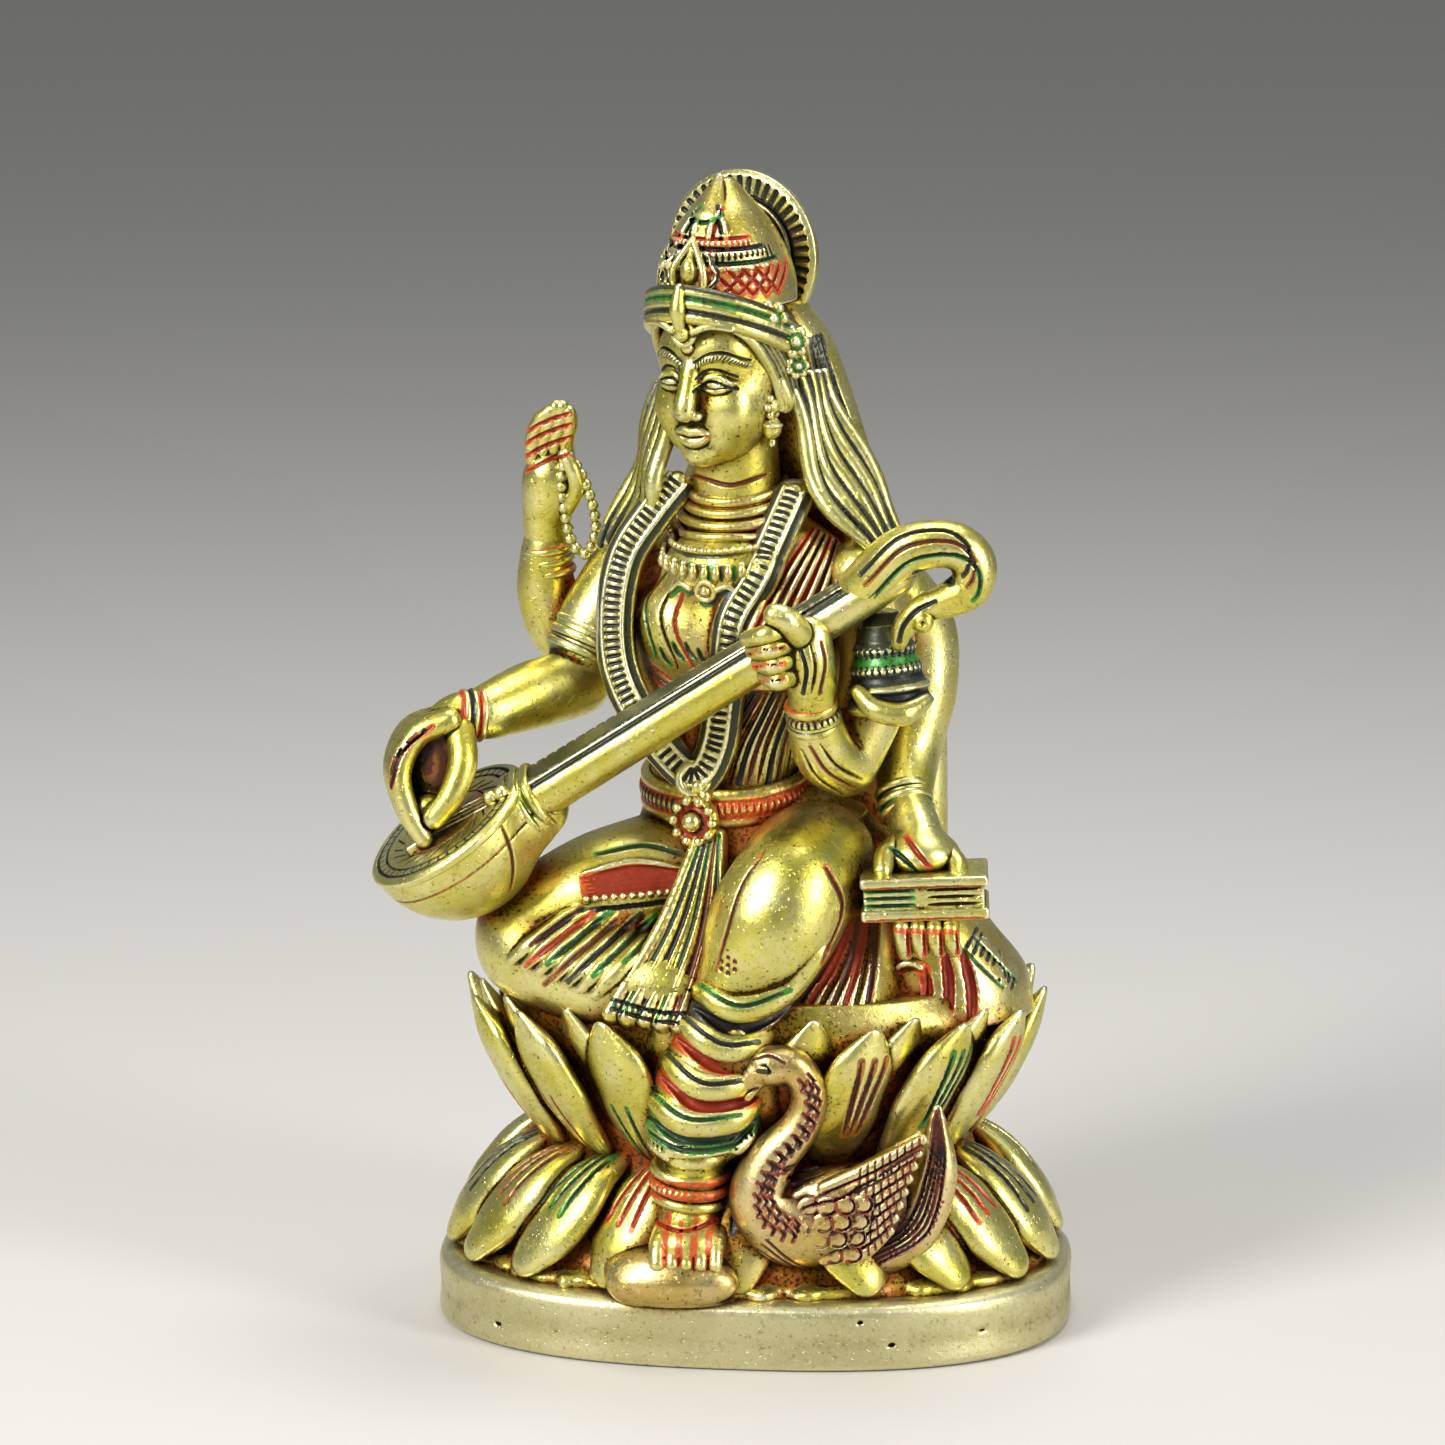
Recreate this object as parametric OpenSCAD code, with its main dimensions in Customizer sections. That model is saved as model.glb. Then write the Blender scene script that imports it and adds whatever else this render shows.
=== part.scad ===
// Seated four-armed lute-player statuette on a double lotus, with a swan at its feet.
// Millimetres. +Z is up, the front faces -Y, and +X is to the viewer's right.
// The origin is the centre of the plinth's underside.

/* [Overall] */
// Height from the table to the top of the halo
statue_h = 158; // [110:1:260]

/* [Plinth] */
// Plinth width across the front, at the design height of 158
plinth_w = 88; // [84:1:94]
// Plinth depth, front to back
plinth_d = 61; // [59:1:66]
// Plinth height
plinth_h = 9.5; // [8:0.5:10]
// Width of the rounded step round the plinth's top edge
plinth_step = 1.0; // [0.4:0.1:1.6]

/* [Lotus] */
// Width of the lotus at its waist
waist_w = 61; // [58:1:64]
// Depth of the lotus at its waist
waist_d = 40; // [37:1:42]
// Petals round the lower lotus
lower_petals = 18; // [16:1:22]
// Petals round the upper lotus
upper_petals = 16; // [14:1:18]
// Half width of a petal at its belly
petal_w = 5.2; // [4.4:0.1:5.6]

/* [Figure] */
// Turn of the body towards the viewer's left, in degrees
body_turn = 20; // [14:1:26]
// Turn of the head towards the viewer's left, in degrees
head_turn = 26; // [18:1:32]
// Radius of an upper arm
arm_r = 4.1; // [3.6:0.1:4.4]
// Radius of a wrist
wrist_r = 2.7; // [2.3:0.1:3.0]
// Radius of the halo disc
halo_r = 12; // [11:0.5:12]
// Height of the crown above its band
crown_h = 15; // [13:0.5:15.5]
// Beads on the string in the raised hand
beads = 14; // [8:1:14]

/* [Lute] */
// Radius of the lute's bowl
bowl_r = 12; // [11:0.5:12.5]
// Depth of the lute's neck under the strings
neck_r = 4.1; // [3.6:0.1:4.4]
// Number of strings
strings = 4; // [3:1:5]

/* [Swan] */
// Radius of the swan's body at its fullest
swan_r = 7; // [6:0.5:7.5]

/* [Hidden] */
design_h = 158;

// Joints of the figure, in the design size
waist_at = [-4, -2.5, 75];
chest_at = [-3, -3, 95];
shoulder_mid = [-1.6, -0.5, 107];
neck_base = [-2.6, -1, 112];
head_at = [-3.5, -2.5, 130.5];
right_shoulder = [-18, 4, 103.5];
right_elbow = [-24.5, 0, 88];
right_wrist = [-36, -13, 86];
right_hand = [-41, -17, 78];
rear_elbow = [-27.5, 8, 94];
rear_wrist = [-29.7, 6.5, 106.5];
rear_palm = [-28, 5, 117];
left_shoulder = [15, -6, 105];
left_elbow = [13, -11, 80];
left_wrist = [9.3, -18.5, 89];
left_palm = [7.5, -21.5, 98];
left_rear_elbow = [24, 3, 89];
left_rear_wrist = [21, -7.5, 74];
left_rear_palm = [24.5, -13, 69];
book_at = [24, -17, 63.8];
beads_at = [-23.8, 1.2, 112.4];

// Lute: the soundboard's centre, the way the neck runs and the way the soundboard faces
board_at = [-40.2, -16.5, 71.2];
neck_way = unit([56.2, -2, 36.5]);
board_up = unit(across([-0.53, -0.25, 0.81], neck_way));
neck_start = board_at + neck_way * 12 - board_up * 3.6;
neck_end = neck_start + neck_way * 56;

// Facets round a blended limb, and round a large shell
limb_sides = 16;
shell_sides = 40;
// Facets round a petal, and its thickness as a share of its width
petal_sides = 8;
petal_flat = 0.5;
$fn = 48;

brass = "#b9b04a";
pale_brass = "#c9be96";
dark_brass = "#6a5a10";
red = "#a02808";

// ---- vectors and blends ----

function unit(v) = v / norm(v);
function across(v, axis) = v - axis * (v * axis);
function turned(v, a) = [v.x * cos(a) - v.y * sin(a), v.x * sin(a) + v.y * cos(a), v.z];
function power(v, p) = sign(v) * pow(abs(v), p);

// A point on a rounded box outline with half sizes a and b
function oval_point(t, a, b, p) = [a * power(cos(t), 2 / p), b * power(sin(t), 2 / p), 0];

// The whole outline, as a flat list for linear_extrude
function oval(a, b, p, n) = [
    for (i = [0:n - 1])
        let (q = oval_point(360 * i / n, a, b, p)) [q.x, q.y]
];

// Side and end triangles of a skin of m rings with n points each, seen clockwise from outside
function skin_faces(m, n) = concat(
    [for (i = [0:m - 2]) for (j = [0:n - 1])
        [i * n + j, (i + 1) * n + (j + 1) % n, i * n + (j + 1) % n]],
    [for (i = [0:m - 2]) for (j = [0:n - 1])
        [i * n + j, (i + 1) * n + j, (i + 1) * n + (j + 1) % n]],
    [for (j = [1:n - 2]) [0, j, j + 1]],
    [for (j = [1:n - 2]) [(m - 1) * n, (m - 1) * n + j + 1, (m - 1) * n + j]]
);

// A closed shell through level ovals, each [centre, half width, half depth, turn]
module shell(levels, p = 2.2, n = shell_sides) {
    points = [
        for (l = levels) for (i = [0:n - 1])
            l[0] + turned(oval_point(360 * i / n, l[1], l[2], p), l[3])
    ];
    polyhedron(points, skin_faces(len(levels), n));
}

// The direction of a path of points at point i
function path_way(path, i) = unit(
    i == 0 ? path[1] - path[0]
    : i == len(path) - 1 ? path[i] - path[i - 1]
    : unit(path[i + 1] - path[i]) + unit(path[i] - path[i - 1])
);

// A bar along a path of points with its own radius at each, and domed ends.
// Its section is a circle, or flattened across the way that side points.
module limb(path, radii, n = limb_sides, side = [0.3, 1, 0.2], flat = 1, dome = [20, 50, 75]) {
    last = len(path) - 1;
    start = [
        for (i = [len(dome) - 1:-1:0])
            [path[0] - path_way(path, 0) * radii[0] * flat * sin(dome[i]), radii[0] * cos(dome[i]),
             path_way(path, 0)]
    ];
    middle = [for (i = [0:last]) [path[i], radii[i], path_way(path, i)]];
    finish = [
        for (a = dome)
            [path[last] + path_way(path, last) * radii[last] * flat * sin(a), radii[last] * cos(a),
             path_way(path, last)]
    ];
    rings = concat(start, middle, finish);
    points = [
        for (r = rings)
            let (s = unit(across(side, r[2])), t = cross(r[2], s) * flat)
                for (i = [0:n - 1])
                    r[0] + (s * cos(360 * i / n) + t * sin(360 * i / n)) * r[1]
    ];
    polyhedron(points, skin_faces(len(rings), n));
}

// Puts children at a point with their +Z along a direction
module aim(at, way) {
    translate(at)
        rotate([0, acos(way.z / norm(way)), atan2(way.y, way.x)])
            children();
}

// A plain ring of round wire
module hoop(at, way, r, wire) {
    aim(at, way)
        rotate_extrude()
            translate([r, 0])
                circle(r = wire, $fn = 16);
}

// Everything is drawn in the design size and scaled to the height asked for
module sized() {
    scale(statue_h / design_h)
        children();
}

// ---- base ----

module plinth() {
    color(pale_brass)
        sized() {
            linear_extrude(height = plinth_h - plinth_step)
                polygon(oval(plinth_w / 2, plinth_d / 2, 2.5, 72));
            translate([0, 0, plinth_h - plinth_step])
                linear_extrude(height = plinth_step)
                    polygon(oval(plinth_w / 2 - plinth_step, plinth_d / 2 - plinth_step, 2.5, 72));
        }
}

module lotus_core() {
    a = waist_w / 2;
    b = waist_d / 2;
    color(brass)
        sized()
            shell([
                [[0, 0, plinth_h], a + 8, b + 6, 0],
                [[0, 0, 13], a + 6, b + 4.5, 0],
                [[0, 0, 19], a + 2, b + 1.5, 0],
                [[0, 0, 25], a, b, 0],
                [[0, 0, 31], a + 1, b + 1.5, 0],
                [[0, 0, 39], a + 4, b + 4, 0],
                [[0, 0, 46], a + 5, b + 5, 0],
                [[-1, 0, 48.5], a + 3, b + 4, 0]
            ], 2.4);
}

// A point on the lotus, out from its middle by s[0] across and s[1] deep, at height s[2]
function spread(angle, s) = oval_point(angle, s[0], s[1], 2.3) + [0, 0, s[2]];

// One leaf-shaped petal through stations from its root to its tip
module petal(angle, stations, widths) {
    along = spread(angle + 1, stations[1]) - spread(angle - 1, stations[1]);
    limb([for (s = stations) spread(angle, s)], widths, petal_sides, along, petal_flat, [55]);
}

module lotus_lower_petals() {
    a = waist_w / 2;
    b = waist_d / 2;
    step = 360 / lower_petals;
    color(brass)
        sized()
            for (i = [0:lower_petals - 1])
                petal(step * (i + 0.5),
                      [[a - 1, b - 1, 24.5], [a + 4, b + 3, 21], [a + 8.5, b + 5.5, 15.5],
                       [a + 11, b + 7.5, 12]],
                      [petal_w * 0.45, petal_w * 0.9, petal_w, petal_w * 0.55]);
}

module lotus_upper_petals() {
    a = waist_w / 2;
    b = waist_d / 2;
    step = 360 / upper_petals;
    color(brass)
        sized()
            for (i = [0:upper_petals - 1])
                petal(step * (i + 0.5),
                      [[a - 1.5, b - 1.5, 26], [a + 3, b + 2.5, 31], [a + 6, b + 5, 38],
                       [a + 8, b + 6, 45]],
                      [petal_w * 0.5, petal_w * 1.05, petal_w * 1.15, petal_w * 0.25]);
}

module foot_rest() {
    color(brass)
        sized()
            shell([
                [[-9, -19, plinth_h], 8.5, 9, 0],
                [[-9, -19.5, 12.5], 8.8, 8.8, 0],
                [[-9, -19.5, 14.5], 7.4, 7.5, 0]
            ], 2.2);
}

module seat_drape() {
    color(red)
        sized()
            shell([
                [[23, -3, 44], 12, 16.5, 8],
                [[23.5, -3, 49], 12.5, 16.5, 8],
                [[23, -2, 54], 11, 14, 8],
                [[22, -1, 58.5], 8, 10, 8]
            ], 2.2);
}

// ---- legs and skirt ----

module skirt() {
    color(brass)
        sized()
            shell([
                [[-4, -2, 46.5], 22, 17, -8],
                [[-4, -3, 52], 23, 18, -8],
                [[-4, -3.5, 60], 18, 14.5, -12],
                [[-4, -3, 68], 12.5, 10.5, -body_turn],
                [[-4, -2.5, 73], 10, 8, -body_turn]
            ], 2.2);
}

module right_leg() {
    color(brass)
        sized() {
            limb([[-11, -5, 61.5], [-21, -8, 61], [-30.5, -10.5, 56.5]], [9, 8.4, 6.6], 20);
            limb([[-31.5, -11.5, 54.5], [-24, -15.5, 51.5], [-12, -18, 50.5]], [5.6, 5.2, 4.4], 20);
        }
}

module left_leg() {
    color(brass)
        sized()
            limb([[4, -8, 62], [7, -15, 62.5], [6.5, -19.5, 59], [1, -21.5, 48], [-4.5, -22, 38],
                  [-6.6, -21, 28]],
                 [9, 8.6, 8, 6.2, 5.4, 4], 20);
}

module left_foot() {
    color(brass)
        sized()
            limb([[-6.8, -20, 24.5], [-7, -21.5, 19.5], [-6.5, -25.5, 17.2], [-6, -28.5, 16.4]],
                 [3.6, 3.6, 2.6, 1.8]);
}

module anklets() {
    color(brass)
        sized()
            for (h = [25.2, 27, 28.8])
                hoop([-6.7, -20.6, h], [0.1, 0.15, 1], 4, 0.9);
}

module front_pleats() {
    color(brass)
        sized()
            shell([
                [[-11, -22, 50.5], 8, 2.6, -10],
                [[-9.5, -20, 56], 6, 2.6, -14],
                [[-7.5, -16.5, 63], 3.8, 2.6, -18],
                [[-6, -13, 70], 2.2, 2.2, -20]
            ], 2.2, 24);
}

module belt() {
    color(red)
        sized()
            shell([
                [waist_at + [0, 0, -5.5], 11, 9, -body_turn],
                [waist_at + [0, 0, -4.5], 11.6, 9.6, -body_turn],
                [waist_at + [0, 0, -2], 11.2, 9.2, -body_turn],
                [waist_at + [0, 0, -1], 10.4, 8.4, -body_turn]
            ], 2.2);
}

module belt_buckle() {
    face = turned([0, -1, 0.15], -body_turn);
    color(brass)
        sized() {
            aim(waist_at + [-2.9, -8.4, -2.6], face)
                cylinder(h = 2.4, r = 3.4);
            aim(waist_at + [-2.9, -8.4, -2.6] + face * 2.4, face)
                cylinder(h = 0.8, r1 = 1.8, r2 = 1.1);
        }
}

// ---- body ----

module torso() {
    color(brass)
        sized()
            shell([
                [waist_at + [0, 0, -3], 9.6, 7.4, -body_turn],
                [waist_at + [0, 0, 3], 9, 6.8, -body_turn],
                [chest_at + [0, 0, -9], 10.4, 7.6, -body_turn],
                [chest_at, 12.5, 8.6, -body_turn],
                [chest_at + [0.6, 1, 7], 14, 8, -body_turn],
                [shoulder_mid, 15.5, 6.2, -body_turn],
                [shoulder_mid + [0, 0, 3.5], 12, 5, -body_turn],
                [neck_base + [0, 0, 0.5], 6, 4, -body_turn]
            ], 2.2);
}

module shoulder_sash() {
    color(brass)
        sized()
            limb([[12, -7.5, 108], [6, -11.8, 102], [-1, -13, 93], [-7, -11.5, 83], [-11, -8.5, 76]],
                 [2.2, 2.4, 2.2, 2, 1.8], 12);
}

module garland() {
    color(brass)
        sized()
            limb([[8.5, -6.2, 116], [4, -11, 107.5], [-1.5, -13.2, 99], [-2.2, -13.5, 88],
                  [-7, -12.5, 78.5], [-12, -10.5, 84], [-17, -7.5, 90], [-18.2, -6, 96],
                  [-15.5, -6.5, 107], [-10.8, -4.5, 115]],
                 [1.2, 1.3, 1.3, 1.3, 1.4, 1.3, 1.3, 1.3, 1.3, 1.1], 10);
}

module neck() {
    color(brass)
        sized()
            limb([neck_base + [0, 0, 1], neck_base + [-0.4, -0.7, 9]], [4.6, 4.2]);
}

module choker_rings() {
    color(brass)
        sized()
            for (i = [0:2])
                hoop(neck_base + [-0.1 * i, -0.2 * i, 1.5 + 1.9 * i], [-0.1, -0.2, 1], 5.2 - 0.25 * i, 0.8);
}

module collar() {
    color(brass)
        sized()
            hoop([-3.4, -4.6, 110], [-0.2, -0.55, 1], 7.6, 1.5);
}

module pendant() {
    color(brass)
        sized() {
            aim([-6.6, -12.6, 103], turned([0, -1, 0.1], -body_turn))
                cylinder(h = 1.5, r = 1.9);
            translate([-6, -12.8, 106])
                sphere(r = 0.9);
        }
}

// ---- head ----

module head() {
    color(brass)
        sized()
            shell([
                [head_at + [-3, -5.6, -9.3], 1.8, 1.6, -head_turn],
                [head_at + [-2.4, -4.2, -8], 4.6, 4.4, -head_turn],
                [head_at + [-1, -2, -5], 7, 7.2, -head_turn],
                [head_at + [-0.4, -1, 0], 8, 8.8, -head_turn],
                [head_at + [0, 0, 5], 8.2, 8.8, -head_turn],
                [head_at + [0.4, 0.8, 9.5], 7.4, 8, -head_turn],
                [head_at + [0.8, 1.4, 13], 4.8, 5.2, -head_turn]
            ], 2);
}

module hair() {
    color(dark_brass)
        sized()
            shell([
                [head_at + [3, 6.5, -15], 7, 3, -head_turn],
                [head_at + [2.4, 5, -8], 8.6, 4.6, -head_turn],
                [head_at + [1.6, 3.4, 0], 9.2, 7.4, -head_turn],
                [head_at + [1.2, 2.4, 7], 9, 8, -head_turn],
                [head_at + [1, 2, 12], 6.8, 6.4, -head_turn]
            ], 2);
}

module hair_locks() {
    color(dark_brass)
        sized() {
            limb([[-12.6, 0, 125], [-15, 1, 117], [-18.5, 2.5, 109]], [2.2, 3, 2]);
            limb([[7, -4.5, 125], [10.5, -5, 118], [16.5, -6, 109.5]], [2.2, 3.2, 2]);
        }
}

module veil() {
    color(brass)
        sized()
            shell([
                [[2, 7, 56], 22, 4.5, -14],
                [[3, 8.5, 72], 22, 3.2, -body_turn],
                [[3.4, 8.8, 90], 21.4, 2.8, -body_turn],
                [[3.2, 8.2, 104], 18.6, 2.8, -body_turn],
                [[2.6, 7, 115], 16, 3, -22],
                [[2, 5.4, 128], 12, 3.4, -24],
                [[1, 4.5, 140], 8.6, 3.4, -head_turn]
            ], 2.2);
}

module crown_band() {
    color(brass)
        sized()
            shell([
                [head_at + [-0.6, -0.6, 7.6], 8.9, 9.4, -head_turn],
                [head_at + [-0.6, -0.6, 8.6], 9.6, 10, -head_turn],
                [head_at + [-0.4, -0.4, 12], 9.6, 10, -head_turn],
                [head_at + [-0.2, 0, 13], 8.8, 9, -head_turn]
            ], 2);
}

module crown_cone() {
    color(brass)
        sized()
            aim(head_at + [-0.2, 0.2, 12.4], [0, 0.18, 1])
                rotate_extrude()
                    polygon([
                        [0, 0], [8, 0], [7.8, 1.6], [7, 3.4], [6.2, 3.8], [5.6, 7], [4.4, 8.4],
                        [3.9, 8.6], [3.2, crown_h - 3.4], [2.2, crown_h - 2], [0, crown_h - 2]
                    ]);
}

module crown_finial() {
    color(brass)
        sized()
            aim(head_at + [-0.2, 2.7, crown_h + 9.6], [0, 0.18, 1])
                cylinder(h = 2.8, r1 = 2, r2 = 0.6);
}

module crown_jewel() {
    front = turned([0, -1, 0.3], -head_turn);
    color(brass)
        sized() {
            aim(head_at + [-4.6, -9.6, 11], front)
                cylinder(h = 1.2, r = 1.9);
            aim(head_at + [-4.2, -8.9, 15.5], front)
                cylinder(h = 1, r1 = 1.5, r2 = 0.9);
        }
}

module side_flower() {
    out = turned([0.9, -0.3, 0.2], -head_turn);
    color(brass)
        sized() {
            aim([7.2, -5.6, 134.6], out)
                cylinder(h = 2.4, r1 = 3.6, r2 = 2.2);
            aim([6, -5.4, 140.8], out)
                cylinder(h = 2, r1 = 2.2, r2 = 1.2);
        }
}

module earrings() {
    color(brass)
        sized()
            for (at = [[5, -6, 125], [-11.3, 2, 125]]) {
                translate(at)
                    sphere(r = 1.5);
                translate(at + [0, 0, -2.6])
                    sphere(r = 1.1);
            }
}

module halo() {
    face = turned([0, -1, 0.05], -head_turn);
    color(dark_brass)
        sized()
            aim([-2, 8.4, design_h - halo_r], -face)
                rotate_extrude()
                    polygon([
                        [0, 1.2], [halo_r - 3, 1.2], [halo_r - 2.4, 0], [halo_r - 0.4, 0],
                        [halo_r, 0.6], [halo_r, 2.4], [halo_r - 1, 3], [0, 3]
                    ]);
}

// ---- arms ----

module right_front_arm() {
    color(brass)
        sized()
            limb([right_shoulder, right_elbow + [0.8, 0.5, 3], right_elbow, right_elbow + [-3, -3.5, -1.2],
                  right_wrist],
                 [arm_r + 0.6, arm_r - 0.1, arm_r - 0.1, arm_r - 0.1, wrist_r], 16);
}

module right_armlet() {
    way = right_elbow - right_shoulder;
    color(brass)
        sized()
            for (f = [0.56, 0.68])
                hoop(right_shoulder + way * f, way, arm_r + 0.2, 0.8);
}

module right_front_hand() {
    color(brass)
        sized() {
            limb([right_wrist, right_hand + [1.5, 0, 4], right_hand], [wrist_r, 3.4, 2.6]);
            limb([right_hand + [-2, 0.5, 1], right_hand + [-3.5, -1, -4], board_at + [-2.6, -2, 2]],
                 [1.9, 1.6, 1.2], 12);
            limb([right_hand + [3.4, -1, 2], right_hand + [3, -2.5, -3]], [1.6, 1.1], 12);
        }
}

module right_rear_arm() {
    color(brass)
        sized()
            limb([right_shoulder + [3, 5, -1], rear_elbow, rear_elbow + [-1.6, -0.5, 4], rear_wrist],
                 [arm_r - 0.3, arm_r - 0.6, arm_r - 0.6, wrist_r], 16);
}

module right_rear_bangle() {
    way = rear_wrist - rear_elbow;
    color(brass)
        sized()
            for (d = [-1.5, 0.6])
                hoop(rear_wrist + unit(way) * d, way, wrist_r + 0.1, 0.8);
}

module right_rear_hand() {
    color(brass)
        sized() {
            limb([rear_wrist, rear_palm + [0, 0, -4], rear_palm + [0, 0, 1.5]], [wrist_r, 3.2, 2.8]);
            limb([rear_palm + [0, 0, 2], rear_palm + [0.6, -0.6, 6], rear_palm + [1.2, -1, 9.2]],
                 [2.4, 1.7, 1.1], 12);
            limb([rear_palm + [1.6, -1.5, 2], rear_palm + [2.6, -2.8, 5]], [1.5, 1.1], 12);
        }
}

// A loop of beads hanging from the raised hand
module prayer_beads() {
    step = 360 / beads;
    color(dark_brass)
        sized()
            for (i = [0:beads - 1])
                translate(beads_at + [2.6 * sin(step * i), 0.8 * cos(step * i), 6.8 * cos(step * i)])
                    sphere(r = 0.62, $fn = 24);
}

module left_front_arm() {
    color(brass)
        sized()
            limb([left_shoulder, left_elbow + [1, 1.5, 5], left_elbow, left_elbow + [-0.8, -3.5, 1.5],
                  left_wrist],
                 [arm_r + 0.6, arm_r, arm_r, arm_r, wrist_r], 16);
}

module left_front_bangle() {
    way = left_wrist - left_elbow;
    color(brass)
        sized()
            for (d = [-2.4, -0.6])
                hoop(left_wrist + unit(way) * d, way, wrist_r + 0.3, 0.85);
}

module left_front_hand() {
    color(brass)
        sized() {
            limb([left_wrist, left_palm + [0.5, 0.5, -4], left_palm], [wrist_r, 3.3, 3]);
            limb([left_palm + [-1, -1, 0], left_palm + [-2.4, -3.2, 3.6], left_palm + [-2.2, -3.6, 6]],
                 [1.8, 1.7, 1.3], 12);
            limb([left_palm + [1, 1, 2], left_palm + [-1, 0, 6], left_palm + [-5, -1, 4.5]],
                 [2.2, 1.9, 1.4], 12);
        }
}

module left_rear_arm() {
    color(brass)
        sized()
            limb([left_shoulder + [2, 5, -2], left_rear_elbow + [0, 0, 5], left_rear_elbow,
                  left_rear_elbow + [-0.4, -2.5, -4], left_rear_wrist],
                 [arm_r, arm_r - 0.3, arm_r - 0.3, arm_r - 0.4, wrist_r], 16);
}

module left_rear_bangle() {
    way = left_rear_wrist - left_rear_elbow;
    color(brass)
        sized()
            for (d = [-2.2, -0.2])
                hoop(left_rear_wrist + unit(way) * d, way, wrist_r + 0.5, 0.85);
}

module left_rear_hand() {
    color(brass)
        sized() {
            limb([left_rear_wrist, left_rear_palm + [-0.8, 1, 1.2], left_rear_palm + [0.6, -1.6, -0.8]],
                 [wrist_r, 3.2, 2.6]);
            limb([left_rear_palm + [2.5, -1.5, -1], left_rear_palm + [4.6, -4, -3]], [1.5, 1.1], 12);
            for (i = [0:3])
                limb([book_at + [-3 + 1.9 * i, -2.6, -4.2], book_at + [-3 + 1.9 * i, -3.6, -7]],
                     [1.0, 0.8], 10);
        }
}

module book() {
    color(brass)
        sized()
            translate(book_at)
                rotate([4, -1, -4]) {
                    translate([-8.2, -5, -3])
                        cube([16.4, 10, 1.2]);
                    translate([-7.6, -4.6, -1.8])
                        cube([15.2, 9.2, 3]);
                    translate([-8.2, -5, 1.2])
                        cube([16.4, 10, 1.2]);
                }
}

// ---- lute ----

module lute_bowl() {
    color(brass)
        sized()
            aim(board_at - board_up * 0.9, board_up)
                difference() {
                    translate([0, 0, -0.6])
                        sphere(r = bowl_r, $fn = 72);
                    translate([-2 * bowl_r, -2 * bowl_r, 0])
                        cube([4 * bowl_r, 4 * bowl_r, 2 * bowl_r]);
                }
}

module lute_soundboard() {
    color(brass)
        sized()
            aim(board_at - board_up * 0.9, board_up)
                cylinder(h = 0.9, r = bowl_r, $fn = 72);
}

module lute_neck() {
    color(brass)
        sized()
            limb([neck_start, neck_start + neck_way * 20, neck_end - neck_way * 8, neck_end],
                 [neck_r, neck_r - 0.2, neck_r - 0.5, neck_r - 0.9], 20);
}

module lute_collar() {
    color(brass)
        sized()
            for (d = [-0.4, 2.2])
                hoop(neck_start + neck_way * d, neck_way, neck_r, 0.8);
}

module lute_strings() {
    color(pale_brass)
        sized()
            for (i = [0:strings - 1])
                aim(board_at + board_up * 0.9 - neck_way * 4
                    + cross(board_up, neck_way) * (i - (strings - 1) / 2) * 1.3, neck_way)
                    cylinder(h = 58, r = 0.3, $fn = 16);
}

module lute_scroll() {
    color(brass)
        sized()
            limb([[21.5, -17.8, 107.5], [27, -18, 110.6], [30.4, -18, 110.4], [31, -18, 107],
                  [28.6, -18, 104.6], [25.6, -18, 103.6], [23.6, -18, 101.4]],
                 [2.9, 2.2, 1.9, 1.8, 1.7, 1.9, 2.2], 14);
}

module lute_gourd() {
    color(dark_brass)
        sized()
            aim([20.6, -15.6, 89.2], [-0.12, 0.05, 1])
                rotate_extrude()
                    polygon([
                        [0, 0], [5.2, 0], [5.8, 1], [5.4, 2.4], [4.9, 3], [5.1, 4.4], [4.4, 5.6],
                        [4.5, 7], [3.8, 8.6], [3.4, 10], [2.6, 12.6], [0, 12.6]
                    ]);
}

// ---- swan ----

module swan_body() {
    color(brass)
        sized() {
            limb([[3.5, -21.5, 19], [9, -21.5, 18], [17, -19.5, 19], [22, -17.5, 21]],
                 [swan_r - 1.6, swan_r - 0.4, swan_r - 1.4, swan_r - 3], 20);
            limb([[3.2, -22.5, 23], [4.2, -23.5, 27.5], [8.6, -24.5, 32], [10, -25, 37],
                  [8.4, -25.6, 41], [5, -26.2, 41.2], [1.6, -26.8, 39]],
                 [3.6, 2.6, 2.4, 2.1, 2.2, 2.3, 0.8], 14);
        }
}

module swan_wings() {
    color(brass)
        sized()
            limb([[7, -25.5, 20], [13, -26, 22.5], [18.5, -24.5, 26], [23.5, -22, 31]],
                 [3.8, 4.4, 3.8, 1.2], 16);
}

module swan_tail() {
    color(brass)
        sized()
            limb([[19.5, -20, 18], [24, -20, 23], [26.5, -19.5, 29], [26.8, -19, 35]],
                 [3.6, 4, 3, 1], 16);
}

plinth();
lotus_core();
lotus_lower_petals();
lotus_upper_petals();
seat_drape();
foot_rest();
skirt();
right_leg();
left_leg();
left_foot();
anklets();
front_pleats();
belt();
belt_buckle();
torso();
shoulder_sash();
garland();
neck();
choker_rings();
collar();
pendant();
head();
hair();
hair_locks();
veil();
crown_band();
crown_cone();
crown_jewel();
crown_finial();
side_flower();
earrings();
halo();
right_front_arm();
right_armlet();
right_front_hand();
right_rear_arm();
right_rear_bangle();
right_rear_hand();
prayer_beads();
left_front_arm();
left_front_bangle();
left_front_hand();
left_rear_arm();
left_rear_bangle();
left_rear_hand();
book();
lute_bowl();
lute_soundboard();
lute_neck();
lute_collar();
lute_strings();
lute_scroll();
lute_gourd();
swan_body();
swan_wings();
swan_tail();
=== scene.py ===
import math
from concurrent.futures import ThreadPoolExecutor

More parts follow.
